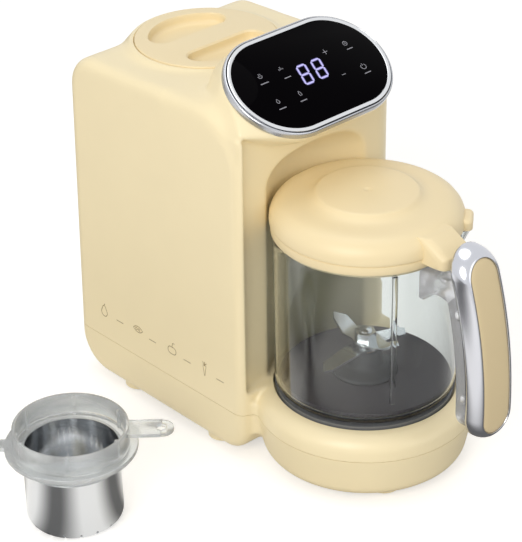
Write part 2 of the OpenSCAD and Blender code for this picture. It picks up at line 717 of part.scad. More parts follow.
module stator_core() color("#8E9196") difference() {
  translate([0, 0, stator_z]) cylinder(r = stator_r, h = stator_h);
  translate([0, 0, stator_z - 1]) cylinder(r = tube_ro, h = stator_h + 2);
  for (i = [0:poles - 1]) rotate(360 / poles * (i + 0.5)) {
    translate([(tube_ro + stator_r) / 2 + 1, 0, stator_z - 1]) cylinder(r = 4.6, h = stator_h + 2);
    translate([(tube_ro + stator_r) / 2, -1, stator_z - 1]) cube([stator_r, 2, stator_h + 2]);
  }
}

module stator_coils() color("#B5713A") for (i = [0:poles - 1]) rotate(360 / poles * i)
  translate([(tube_ro + stator_r) / 2, 0, stator_z]) for (z = [-1.5, stator_h])
    translate([-5, -3, z]) cube([11, 6, 1.5]);

module motor_bearings() color("#D4D6D8") for (z = [mount_z - 2, tube_top - bearing_t])
  ring(bearing_r, shaft_r + run_fit, bearing_t, z);

module rotor_shell() color("#6D7074") difference() {
  translate([0, 0, stator_z - 1]) cylinder(r = rotor_r, h = rotor_top - stator_z + 1);
  translate([0, 0, stator_z - 2]) cylinder(r = rotor_r - 1.5, h = rotor_top - 1.8 - stator_z + 2);
  cylinder(r = shaft_r, h = 100);
  for (i = [0:5]) rotate(60 * i) translate([22, 0, 0]) cylinder(r = 5, h = 100);
}

module rotor_magnets() color("#3F4246") ring(rotor_r - 1.5, stator_r + 0.6, stator_h, stator_z);

module motor_shaft() color(steel) translate([0, 0, mount_z - 3]) cylinder(r = shaft_r, h = coupling_top - 4 - mount_z + 3);

coupling_low = rotor_top + 0.6;
coupling_top = seat_z + 7;
tooth_ring_r = 7.5;
tooth_r = 2.2;

module star(grow = 0) {
  circle(r = tooth_ring_r + grow);
  for (i = [0:coupling_teeth - 1]) rotate(360 / coupling_teeth * i) translate([tooth_ring_r + 1, 0]) circle(r = tooth_r + grow, $fn = 32);
}

module drive_coupling() color("#2C2C2F") difference() {
  union() {
    translate([0, 0, coupling_low]) cylinder(r = 6, h = seat_z - 4 - coupling_low);
    translate([0, 0, seat_z - 4.2]) cylinder(r = 14, h = 2);
    translate([0, 0, seat_z - 2.2]) linear_extrude(coupling_top - seat_z + 2.2) star();
  }
  translate([0, 0, coupling_low - 1]) cylinder(r = shaft_r, h = coupling_top - 4 - coupling_low + 1);
}

module drive_seal() color("#7E8083") {
  ring(drive_hole_r, 14.6, 1.6, seat_z - wall);
  ring(drive_hole_r + 4, 14.6, 1.5, seat_z - wall - 1.5);
}

// ---- Blade unit ----

glass_low_z = seat_z + 5;                           // lower edge of the glass
lip_t = 3;
seal_t = 1.5;
floor_low = glass_low_z + lip_t + seal_t;
floor_t = 3;
floor_top = floor_low + floor_t;
hub_r = 16.5;
bush_r = 7;
hub_top = floor_top + 16;
socket_top = floor_top - 0.5;
spindle_low_z = coupling_top + 0.4;

module blade_hub() color("#4B4B4F") rotate_extrude() polygon([
  [15.4, glass_low_z - 1.5], [hub_r, glass_low_z - 1.5], [hub_r, floor_top + play], [hub_r + 4, floor_top + play],
  [hub_r + 4, floor_top + play + 1.6], [12, floor_top + 6], [9.6, hub_top - 1], [8.8, hub_top],
  [bush_r, hub_top], [bush_r, socket_top], [15.4, socket_top]]);

bush_l = 5;

module hub_bushes() color("#B58A4A") {
  ring(bush_r, spindle_r + run_fit, bush_l, socket_top);
  ring(bush_r, spindle_r + run_fit, bush_l, hub_top - bush_l);
}

lower_blade_z = hub_top + 1;
upper_blade_z = lower_blade_z + blade_t + 3;
nut_z = upper_blade_z + blade_t;

module blade_spindle() color(steel) {
  translate([0, 0, spindle_low_z]) cylinder(r = spindle_r, h = nut_z + 6 - spindle_low_z);
  ring(spindle_r + 2, spindle_r - 0.5, 1 - 0.15, hub_top + 0.15);
  ring(spindle_r + 2, spindle_r - 0.5, 3, lower_blade_z + blade_t);
}

// Two-armed blade whose arms bend by an angle
module blade_pair(z, bend, l) translate([0, 0, z]) difference() {
  union() {
    cylinder(r = 8, h = blade_t);
    for (s = [0, 180]) rotate(s) {
      linear_extrude(blade_t) polygon([[0, -6.5], [14, -6], [14, 6], [0, 6.5]]);
      translate([14 - eps, 0, 0]) rotate([0, -bend, 0]) linear_extrude(blade_t)
        polygon([[0, -6], [l - 20, -5.5], [l - 14, 1], [l - 18, 4], [0, 6]]);
    }
  }
  translate([0, 0, -20]) cylinder(r = spindle_r, h = 60);
}

module lower_blade() color("#D5D8DA") blade_pair(lower_blade_z, -10, blade_l);
module upper_blade() color("#D5D8DA") rotate(90) blade_pair(upper_blade_z, 28, blade_l - 7);

module blade_nut() color("#BFC2C5") difference() {
  translate([0, 0, nut_z]) cylinder(r = 7, h = 5, $fn = 6);
  translate([0, 0, nut_z - 1]) cylinder(r = spindle_r, h = 20);
}

driven_low = seat_z - 0.8;

module driven_coupling() color("#303033") difference() {
  translate([0, 0, driven_low]) cylinder(r = 14, h = socket_top - 0.6 - driven_low);
  translate([0, 0, driven_low - 1]) linear_extrude(spindle_low_z - driven_low + 1) star(0.35);
  translate([0, 0, driven_low]) cylinder(r = spindle_r, h = 60);
}

// ---- Jug ----

module jug_glass() color(clear_c) {
  foot_round = 5;
  difference() {
    union() {
      rotate_extrude() polygon(concat(
        [[floor_in_r, glass_low_z]],
        arc([jug_foot_r - foot_round, glass_low_z + foot_round], foot_round, -90, 0),
        [[jug_r, rim_z - 10], [jug_r, rim_z], [jug_r - glass_wall, rim_z],
         [jug_r - glass_wall, rim_z - 10], [jug_foot_r - glass_wall, glass_low_z + 12]],
        arc([jug_foot_r - glass_wall - 3, glass_low_z + lip_t + 3], 3, 0, -90, 4),
        [[floor_in_r, glass_low_z + lip_t]]));
      // pouring spout
      rotate(spout_a) difference() {
        translate([jug_r - 8, -9, rim_z - 12]) cube([13, 18, 12]);
        translate([0, 0, rim_z - 60]) cylinder(r = jug_r - glass_wall, h = 100);
        translate([jug_r + 5, 0, rim_z - 20]) rotate([0, -32, 0]) translate([0, -20, -20]) cube([20, 40, 40]);
        translate([jug_r - 8, -6, rim_z - 9]) cube([11, 12, 10]);
      }
      // moulded rib down the front of the glass
      rotate(rib_a) translate([jug_foot_r - 1, -1, glass_low_z + foot_round]) cube([1.6, 2, rim_z - 12 - glass_low_z]);
    }
    // nothing of the rib or spout reaches the inside
    translate([0, 0, rim_z - 10]) cylinder(r = jug_r - glass_wall, h = 20);
  }
}

spout_a = -50;
rib_a = -118.5;
floor_in_r = 46;

module jug_floor() color("#55555A") difference() {
  union() {
    translate([0, 0, floor_low]) cylinder(r = jug_foot_r - glass_wall - play - 1, h = floor_t);
    translate([0, 0, glass_low_z - 2]) cylinder(r = floor_in_r - play, h = floor_low - glass_low_z + 2.5);
  }
  translate([0, 0, glass_low_z - 10]) cylinder(r = hub_r + play, h = 40);
  translate([0, 0, glass_low_z - 10]) cylinder(r = floor_in_r - 5, h = floor_low - glass_low_z + 10);
}

module floor_seal() color("#8D9093") ring(jug_foot_r - glass_wall - 4, floor_in_r - play, seal_t, glass_low_z + lip_t);

module jug_collar() color(dark) {
  difference() {
    translate([0, 0, seat_z + play]) cylinder(r = jug_foot_r, h = glass_low_z - seat_z - play);
    translate([0, 0, seat_z - 1]) cylinder(r = floor_in_r - play - 2.6, h = 20);
    translate([0, 0, glass_low_z - 2]) cylinder(r = floor_in_r - play, h = 20);
    // thumb notches under the rim
    for (i = [0:5]) rotate(60 * i + 30) translate([floor_in_r + 4, 0, seat_z - 1]) cylinder(r = 3, h = 3);
  }
}

// ---- Handle ----

// Outline of the handle seen from the front, grown or shrunk
module handle_front(grow, z0 = handle_low_z, z1 = handle_top_z) {
  r = handle_w / 2 + grow;
  translate([-r, z0 - grow + r]) square([2 * r, z1 - z0 + 2 * grow - 2 * r]);
  for (z = [z0 - grow + r, z1 + grow - r]) translate([0, z]) circle(r = r);
}

// Slab between two bowed faces, at depths d0 and d1 behind the handle's outer face
module bow_slab(d0, d1, w) {
  cy = -handle_reach + bow_r;
  translate([-w / 2, 0, 0]) intersection() {
    translate([0, cy, bow_z]) rotate([0, 90, 0]) difference() {
      cylinder(r = bow_r - d0, h = w, $fn = 256);
      translate([0, 0, -1]) cylinder(r = bow_r - d1, h = w + 2, $fn = 256);
    }
    translate([0, -200, handle_low_z - 20]) cube([w, 190, handle_top_z - handle_low_z + 40]);
  }
}

module front_slab(grow, z0 = handle_low_z, z1 = handle_top_z) translate([0, -40, 0]) rotate([90, 0, 0])
  linear_extrude(120) handle_front(grow, z0, z1);

insert_d = 3;

module handle_frame() color("#E4E6E8") difference() {
  intersection() {
    bow_slab(0, frame_d, handle_w);
    front_slab(0);
  }
  intersection() {
    bow_slab(-1, insert_d + 1, handle_w);
    front_slab(-frame_rim);
  }
  for (z = handle_screw_zs) handle_hole(z, screw_r);
}

module handle_insert() color("#D8C79C") intersection() {
  bow_slab(-0.6, insert_d + 1, handle_w);
  front_slab(-frame_rim - 0.25);
}

bracket_top_z = rim_z - 3;
bracket_w = 26;
grip_gap_z = rim_z - 26;                            // where the bracket's underside meets the glass

module handle_bracket() color(clear_c) difference() {
  union() {
    // back of the grip
    intersection() {
      bow_slab(frame_d + seat_fit, frame_d + clear_d, handle_w - 6);
      front_slab(-3, handle_low_z, bracket_top_z + 2);
    }
    // arm from the glass to the grip, over the fingers
    difference() {
      translate([-bracket_w / 2, -handle_reach + 20, grip_gap_z]) cube([bracket_w, handle_reach - 20 - 40, bracket_top_z - grip_gap_z]);
      intersection() {
        bow_slab(-60, frame_d + seat_fit, handle_w + 2);
        translate([-50, -200, 0]) cube([100, 200, 300]);
      }
      translate([0, 0, grip_gap_z - 10]) cylinder(r = jug_r + seat_fit, h = 60);
      translate([-50, -jug_r - 15, grip_gap_z - 6]) rotate([0, 90, 0]) cylinder(r = 15, h = 100);
    }
  }
  for (z = handle_screw_zs) handle_hole(z, screw_r);
  for (z = handle_screw_zs) handle_hole(z, screw_head_r + 0.3, frame_d + clear_d - 4, 30);
}

handle_screw_low = 22;
handle_screw_pitch = 56;
handle_screw_zs = [handle_low_z + handle_screw_low, handle_low_z + handle_screw_low + handle_screw_pitch];

// Distance from the jug's axis to the bowed face at depth d and height z
function bow_y(d, z) = handle_reach - bow_r + sqrt(pow(bow_r - d, 2) - pow(z - bow_z, 2));

module handle_hole(z, r, from = insert_d + 1.5, l = 40) translate([0, -bow_y(from, z), z]) rotate([-90, 0, 0]) cylinder(r = r, h = l);

module handle_screws() color(steel) for (z = handle_screw_zs)
  translate([0, -bow_y(frame_d + clear_d - 4, z) + 2, z]) rotate([90, 0, 0]) screw(2 + frame_d + clear_d - 4 - insert_d - 3);

// ---- Lid ----

lid_wall = 2.5;
lid_low_z = rim_z + 1;
lid_top_z = rim_z + lid_h;

module jug_lid() color("#EBD9AE") {
  skirt_r = jug_r - glass_wall - play;
  difference() {
    union() {
      rotate_extrude() polygon(concat(
        [[skirt_r, lid_low_z], [lid_r, lid_low_z]],
        arc([lid_r - 9, lid_top_z - 14.5], 9, 0, 80),
        [[lid_disc_r + 9, lid_top_z - 4.6], [lid_disc_r + 4, lid_top_z - 3.4], [lid_disc_r, lid_top_z - 0.6],
         [lid_disc_r - 1, lid_top_z], [0, lid_top_z], [0, lid_top_z - lid_wall],
         [lid_disc_r - 1, lid_top_z - lid_wall], [lid_r - 12, lid_top_z - 8.5], [skirt_r - lid_wall, lid_low_z + 2],
         [skirt_r - lid_wall, rim_z - 8], [skirt_r, rim_z - 8]]));
      // tab over the handle's bracket
      rotate(-90) difference() {
        translate([lid_r - 8, -12, rim_z - 1.5]) cube([tab_reach - lid_r + 8, 24, 13]);
        cylinder(r = lid_r - 6, h = 300);
        translate([lid_r + 2, -20, lid_top_z - 8]) rotate([0, 28, 0]) cube([40, 40, 30]);
        for (s = [-1, 1]) translate([tab_reach, s * 12, rim_z - 2]) rotate(45) translate([-3, -3, 0]) cube([6, 6, 30]);
      }
      // tab over the spout
      rotate(spout_a) difference() {
        translate([lid_r - 8, -11, lid_low_z]) cube([14, 22, 6.5]);
        cylinder(r = lid_r - 6, h = 300);
      }
    }
    // hollow left open for the handle's tab: nothing of the tabs reaches the glass
    translate([0, 0, rim_z - 10]) ring(jug_r + 0.6, skirt_r, 11);
    translate([0, 0, rim_z - 8 + 3]) ring(skirt_r + 1, skirt_r - 1.2, 3);
    translate([0, 0, lid_top_z + 0.2]) translate([0, 0, 1.4]) sphere(r = 2.2, $fn = 32);
  }
}

tab_reach = lid_r + 16;

module lid_seal() color("#E9E4D6") ring(jug_r - glass_wall - 0.1, jug_r - glass_wall - play - 1.2, 3, rim_z - 5);

// ---- Cap over the steam chamber ----

cap_top_z = cap_seam_z + cap_rise;
liner_t = 1.5;
liner_r = chamber_r - 1.5;
grip_wall = 1.5;
grip_r = liner_r - liner_t - play - grip_wall;      // radius of the finger recesses

// One D-shaped finger recess in plan
module grip_plan(grow = 0) intersection() {
  circle(r = grip_r + grow);
  translate([-cap_r, bar_w / 2 - grow]) square([2 * cap_r, cap_r]);
}

module steam_cap() color("#EDDDB4") translate([0, cap_y, 0]) difference() {
  union() {
    rotate_extrude() polygon(concat(
      [[0, ledge_z + play], [cap_r, ledge_z + play]],
      arc([cap_r - 2.5, cap_top_z - 2.5], 2.5, 0, 90, 5), [[0, cap_top_z]]));
    translate([0, 0, cap_top_z - grip_d - grip_wall]) for (s = [0, 1]) mirror([0, s, 0])
      linear_extrude(grip_d) grip_plan(grip_wall);
  }
  for (s = [0, 1]) mirror([0, s, 0]) translate([0, 0, cap_top_z - grip_d]) linear_extrude(grip_d + 5) grip_plan();
}

liner_low = cap_top_z - grip_d - grip_wall - play - liner_t;

module cap_liner() color("#DDE0E2") translate([0, cap_y, 0]) difference() {
  union() {
    ring(liner_r, liner_r - liner_t, ledge_z - liner_low, liner_low);
    translate([0, 0, liner_low]) cylinder(r = liner_r, h = liner_t);
  }
  for (i = [0:5]) rotate(60 * i) translate([16, 0, liner_low - 1]) cylinder(r = 1.5, h = liner_t + 2);
}

module cap_seal() color("#F1EEE6") translate([0, cap_y, 0])
  ring(chamber_r - 0.1, liner_r, 3, ledge_z - 5);

// ---- Basket ----

module at_basket() translate([basket_x, basket_y, 0]) rotate(basket_turn) children();
cup_top = basket_h - collar_up - 2;
cup_t = 0.8;
cup_round = 6;
holes = 18;

module basket_cup() color(steel) at_basket() difference() {
  rotate_extrude() polygon(concat(
    [[0, 0]], arc([cup_r - cup_round, cup_round], cup_round, -90, 0, 6), [[cup_r, cup_top],
      [cup_r - cup_t, cup_top]], arc([cup_r - cup_round, cup_round], cup_round - cup_t, 0, -90, 6), [[0, cup_t]]));
  for (i = [0:holes - 1]) rotate(360 / holes * i) translate([cup_r - cup_round * 0.4, 0, cup_round * 0.45]) rotate([0, 45, 0])
    cylinder(r = 1.3, h = 10, center = true, $fn = 20);
  for (k = [1:2]) for (i = [0:6 * k - 1]) rotate(60 / k * i) translate([8.5 * k, 0, -1])
    cylinder(r = 1.4, h = 3, $fn = 20);
}

module basket_collar() color(clear_c) at_basket() {
  collar_low = cup_top - 9;
  flange_z = basket_h - collar_up - 3;
  difference() {
    union() {
      translate([0, 0, collar_low]) cylinder(r = cup_r + 2, h = 10);
      translate([0, 0, flange_z - 4]) cylinder(r = collar_r, h = basket_h - flange_z + 4);
      translate([0, 0, flange_z]) cylinder(r = flange_r, h = 3);
      // flat handle
      translate([collar_r - 2, -8, basket_h - 5]) cube([flange_r - collar_r + tab_l - 6, 16, 2.5]);
      translate([flange_r + tab_l - 8, 0, basket_h - 5]) cylinder(r = 8, h = 2.5);
      // lug on the other side
      translate([-flange_r - 3, -5, flange_z]) cube([6, 10, 3]);
    }
    translate([0, 0, collar_low - 1]) cylinder(r = cup_r + seat_fit, h = cup_top + seat_fit - collar_low + 1);
    translate([0, 0, collar_low - 1]) cylinder(r = cup_r - 1.2, h = 60);
    translate([0, 0, cup_top + 1]) cylinder(r = collar_r - 2, h = 60);
    translate([flange_r + tab_l - 8, 0, basket_h - 10]) cylinder(r = 3, h = 20);
  }
  for (i = [0:5]) rotate(60 * i + 30) translate([collar_r - 3.6, -0.8, cup_top + 1]) cube([2, 1.6, basket_h - cup_top - 3]);
}

// ---- Jug interlock ----

plunger_h = 9;
spring_h = 8;
spring_low_z = seat_z - plunger_h - spring_h;

module lock_plunger() color("#8C6A3A") translate([plunger_at[0], plunger_at[1], 0]) {
  translate([0, 0, seat_z - plunger_h]) cylinder(r = plunger_r, h = plunger_h);
  translate([0, 0, seat_z - plunger_h]) cylinder(r = plunger_r + 1.6, h = 2);
}

module plunger_spring() color("#A9ACAF") translate([plunger_at[0], plunger_at[1], spring_low_z])
  ring(2.4, 1.6, spring_h);

upper_housing();
lower_housing();
foot_pads();
head_bezel();
panel_glass();
panel_tray();
display_board();
digit_module();
chamber();
chamber_gasket();
chamber_screws();
heating_plate();
heating_tube();
heater_bracket();
thermostat();
thermal_fuse();
heat_shield();
power_board();
transformer();
relays();
capacitors();
board_screws();
cord_gland();
drive_seal();
motor_mount();
mount_grommets();
motor_screws();
stator_core();
stator_coils();
motor_bearings();
housing_screws();
rotor_shell();
rotor_magnets();
motor_shaft();
drive_coupling();
blade_hub();
hub_bushes();
blade_spindle();
lower_blade();
upper_blade();
blade_nut();
driven_coupling();
jug_glass();
jug_floor();
floor_seal();
jug_collar();
handle_bracket();
handle_frame();
handle_insert();
handle_screws();
jug_lid();
lid_seal();
steam_cap();
cap_liner();
cap_seal();
basket_cup();
basket_collar();
lock_plunger();
plunger_spring();
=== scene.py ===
import json
from math import atan2, cos, degrees, pi, radians, sin, sqrt, tan
import bmesh
import bpy
from mathutils import Matrix, Vector


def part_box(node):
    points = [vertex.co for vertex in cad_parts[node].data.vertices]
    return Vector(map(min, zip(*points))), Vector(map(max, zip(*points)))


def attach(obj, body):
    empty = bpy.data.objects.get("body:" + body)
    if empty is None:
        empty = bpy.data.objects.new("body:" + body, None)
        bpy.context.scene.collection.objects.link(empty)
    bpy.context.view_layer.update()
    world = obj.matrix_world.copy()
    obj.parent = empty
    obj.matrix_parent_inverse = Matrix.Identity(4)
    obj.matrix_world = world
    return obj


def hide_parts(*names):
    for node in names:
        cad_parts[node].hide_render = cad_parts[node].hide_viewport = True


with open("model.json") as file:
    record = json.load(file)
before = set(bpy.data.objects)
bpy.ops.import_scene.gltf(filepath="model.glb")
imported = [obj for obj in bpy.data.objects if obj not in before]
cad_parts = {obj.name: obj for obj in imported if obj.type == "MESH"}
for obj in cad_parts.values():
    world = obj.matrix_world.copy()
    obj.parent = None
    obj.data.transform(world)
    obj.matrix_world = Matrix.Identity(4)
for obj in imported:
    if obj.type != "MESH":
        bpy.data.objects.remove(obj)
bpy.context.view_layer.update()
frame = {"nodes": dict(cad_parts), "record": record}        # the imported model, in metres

scene = bpy.context.scene
mm = 0.001               # shapes are worked out in millimetres and scaled once


# Camera, stage and light

view = {"place": (-0.84983, -0.83275, 0.82118), "turn": (59.817, 0.627, -42.811), "lens": 147.86}

camera = bpy.data.objects.new("camera", bpy.data.cameras.new("camera"))
camera.location = view["place"]
camera.rotation_euler = [radians(a) for a in view["turn"]]
camera.data.lens = view["lens"]
camera.data.sensor_width = 36
camera.data.clip_start, camera.data.clip_end = 0.05, 30
scene.collection.objects.link(camera)
scene.camera = camera
scene.view_settings.view_transform = "Standard"


def srgb(text, alpha=1.0):
    values = [int(text[i:i + 2], 16) / 255 for i in (0, 2, 4)]
    return (*[v / 12.92 if v <= 0.04045 else ((v + 0.055) / 1.055) ** 2.4 for v in values], alpha)


def addNode(tree, kind, inputs=None, **settings):
    node = tree.nodes.new(kind)
    for name, value in settings.items():
        setattr(node, name, value)
    for name, value in (inputs or {}).items():
        socket = node.inputs[name]
        if isinstance(value, bpy.types.NodeSocket):
            tree.links.new(value, socket)
        else:
            socket.default_value = value
    return node


def newTree(name):
    material = bpy.data.materials.new(name)
    material.use_nodes = True
    material.node_tree.nodes.clear()
    return material, material.node_tree


# The eye, a gloss and a clear piece all see a white studio; the piece itself is lit at a plain level
def seenDirectly(tree):
    path = addNode(tree, "ShaderNodeLightPath").outputs
    seen = addNode(tree, "ShaderNodeMath", {0: path["Is Camera Ray"], 1: path["Is Glossy Ray"]}, operation="MAXIMUM")
    return addNode(tree, "ShaderNodeMath", {0: seen.outputs[0], 1: path["Is Transmission Ray"]},
                   operation="MAXIMUM").outputs[0]


studio = {"worldGlow": 0.50, "floorGlow": 0.50, "floorColour": "DEDCD9",
          "lamps": {"key": ((-1.7, -0.75, 1.25), 1.3, 21.5, "FFFBF4"),
                    "front": ((0.5, -2.0, 0.9), 1.4, 4.5, "FFFFFF"),
                    "top": ((0.1, 0.3, 2.2), 1.6, 9, "FFFFFF")}}

world = bpy.data.worlds.new("studio")
scene.world = world
world.use_nodes = True
world.node_tree.nodes.clear()
glow = addNode(world.node_tree, "ShaderNodeMapRange",
               {"Value": seenDirectly(world.node_tree), "To Min": studio["worldGlow"], "To Max": 1.0})
background = addNode(world.node_tree, "ShaderNodeBackground",
                     {"Color": (1, 1, 1, 1), "Strength": glow.outputs["Result"]})
addNode(world.node_tree, "ShaderNodeOutputWorld", {"Surface": background.outputs[0]})

floorPaper, tree = newTree("seamlessPaper")      # matt white paper that keeps the contact shadows; glossy rays also see painted dark reflection bands on it
tooth = addNode(tree, "ShaderNodeTexNoise", {"Scale": 900.0, "Detail": 2.0})
relief = addNode(tree, "ShaderNodeBump", {"Height": tooth.outputs[0], "Strength": 0.03, "Distance": 0.0004})
paper = addNode(tree, "ShaderNodeBsdfDiffuse", {"Color": srgb(studio["floorColour"]), "Normal": relief.outputs[0]})
lift = addNode(tree, "ShaderNodeMath", {0: seenDirectly(tree), 1: studio["floorGlow"]}, operation="MULTIPLY")
shine = addNode(tree, "ShaderNodeEmission", {"Color": (1, 1, 1, 1), "Strength": lift.outputs[0]})
both = addNode(tree, "ShaderNodeAddShader", {0: paper.outputs[0], 1: shine.outputs[0]})

# painted reflection: near-black bands are painted into the floor round the basket, seen only by glossy rays, so
# polished metal shows dark streaks; edge is where each band starts and is full
paintedReflectionBands = {"count": 3, "turn": 0.6, "edge": (-0.7, 0.9), "depth": 0.85, "cloth": (0.02, 0.02, 0.022, 1)}
basketMiddle = sum(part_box("basket_cup"), Vector()) / 2
spot = addNode(tree, "ShaderNodeTexCoord").outputs["Object"]
away = addNode(tree, "ShaderNodeVectorMath", {0: spot, 1: basketMiddle}, operation="SUBTRACT")
around = addNode(tree, "ShaderNodeTexGradient", {"Vector": away.outputs[0]}, gradient_type="RADIAL")
phase = addNode(tree, "ShaderNodeMath", {0: around.outputs["Fac"], 1: paintedReflectionBands["count"] * 2 * pi, 2: paintedReflectionBands["turn"]},
                operation="MULTIPLY_ADD")
wave = addNode(tree, "ShaderNodeMath", {0: phase.outputs[0]}, operation="SINE")
paintedBand = addNode(tree, "ShaderNodeMapRange", {"Value": wave.outputs[0], "From Min": paintedReflectionBands["edge"][0],
                                            "From Max": paintedReflectionBands["edge"][1], "To Max": paintedReflectionBands["depth"]})
glossy = addNode(tree, "ShaderNodeLightPath").outputs["Is Glossy Ray"]
mirrored = addNode(tree, "ShaderNodeMath", {0: paintedBand.outputs["Result"], 1: glossy}, operation="MULTIPLY")
# the near-black emission of the painted reflection bands
cloth = addNode(tree, "ShaderNodeEmission", {"Color": paintedReflectionBands["cloth"], "Strength": 1.0})
both = addNode(tree, "ShaderNodeMixShader", {0: mirrored.outputs[0], 1: both.outputs[0], 2: cloth.outputs[0]})
addNode(tree, "ShaderNodeOutputMaterial", {"Surface": both.outputs[0]})

bm = bmesh.new()
bmesh.ops.create_circle(bm, cap_ends=True, segments=96, radius=6)
bmesh.ops.translate(bm, vec=(0, 0, -0.0004), verts=bm.verts)
floorMesh = bpy.data.meshes.new("floor")
bm.to_mesh(floorMesh)
bm.free()
floorMesh.materials.append(floorPaper)
floor = bpy.data.objects.new("floor", floorMesh)
scene.collection.objects.link(floor)

for name, (place, size, power, tint) in studio["lamps"].items():
    lamp = bpy.data.objects.new(name, bpy.data.lights.new(name, "AREA"))
    lamp.data.shape, lamp.data.size = "DISK", size
    lamp.data.energy, lamp.data.color = power, srgb(tint)[:3]
    lamp.location = place
    lamp.rotation_euler = (Vector((0, 0.05, 0.12)) - Vector(place)).to_track_quat("-Z", "Y").to_euler()
    scene.collection.objects.link(lamp)
print("camera, stage and light")


# Materials, each named for the real one

# grain is the size of the surface's texture and relief its depth, in mm; drift is the change of tone over 30 mm
def finishOf(name, colour, roughness, grain=1.0, relief=0.0, drift=0.02, roughDrift=0.05, stretch=(1, 1, 1), **shader):
    material, tree = newTree(name)
    place = addNode(tree, "ShaderNodeTexCoord").outputs["Object"]
    drawn = addNode(tree, "ShaderNodeMapping", {"Vector": place, "Scale": stretch}).outputs[0]
    cloud = addNode(tree, "ShaderNodeTexNoise", {"Vector": place, "Scale": 33.0, "Detail": 2.0}).outputs[0]
    fine = addNode(tree, "ShaderNodeTexNoise", {"Vector": drawn, "Scale": 1000 / grain, "Detail": 3.0}).outputs[0]
    light, dark = [[min(1.0, c * (1 + s * drift)) for c in srgb(colour)[:3]] + [1.0] for s in (1, -1)]
    tone = addNode(tree, "ShaderNodeMix", {0: cloud, 6: dark, 7: light}, data_type="RGBA").outputs[2]
    rough = addNode(tree, "ShaderNodeMapRange", {"Value": fine, "From Min": 0.3, "From Max": 0.7,
                    "To Min": max(0.0, roughness - roughDrift), "To Max": min(1.0, roughness + roughDrift)})
    inputs = {"Base Color": tone, "Roughness": rough.outputs[0], **shader}
    if relief:
        inputs["Normal"] = addNode(tree, "ShaderNodeBump", {"Height": fine, "Strength": 0.6,
                                   "Distance": relief * mm}).outputs[0]
    skin = addNode(tree, "ShaderNodeBsdfPrincipled", inputs)
    addNode(tree, "ShaderNodeOutputMaterial", {"Surface": skin.outputs[0]})
    return material


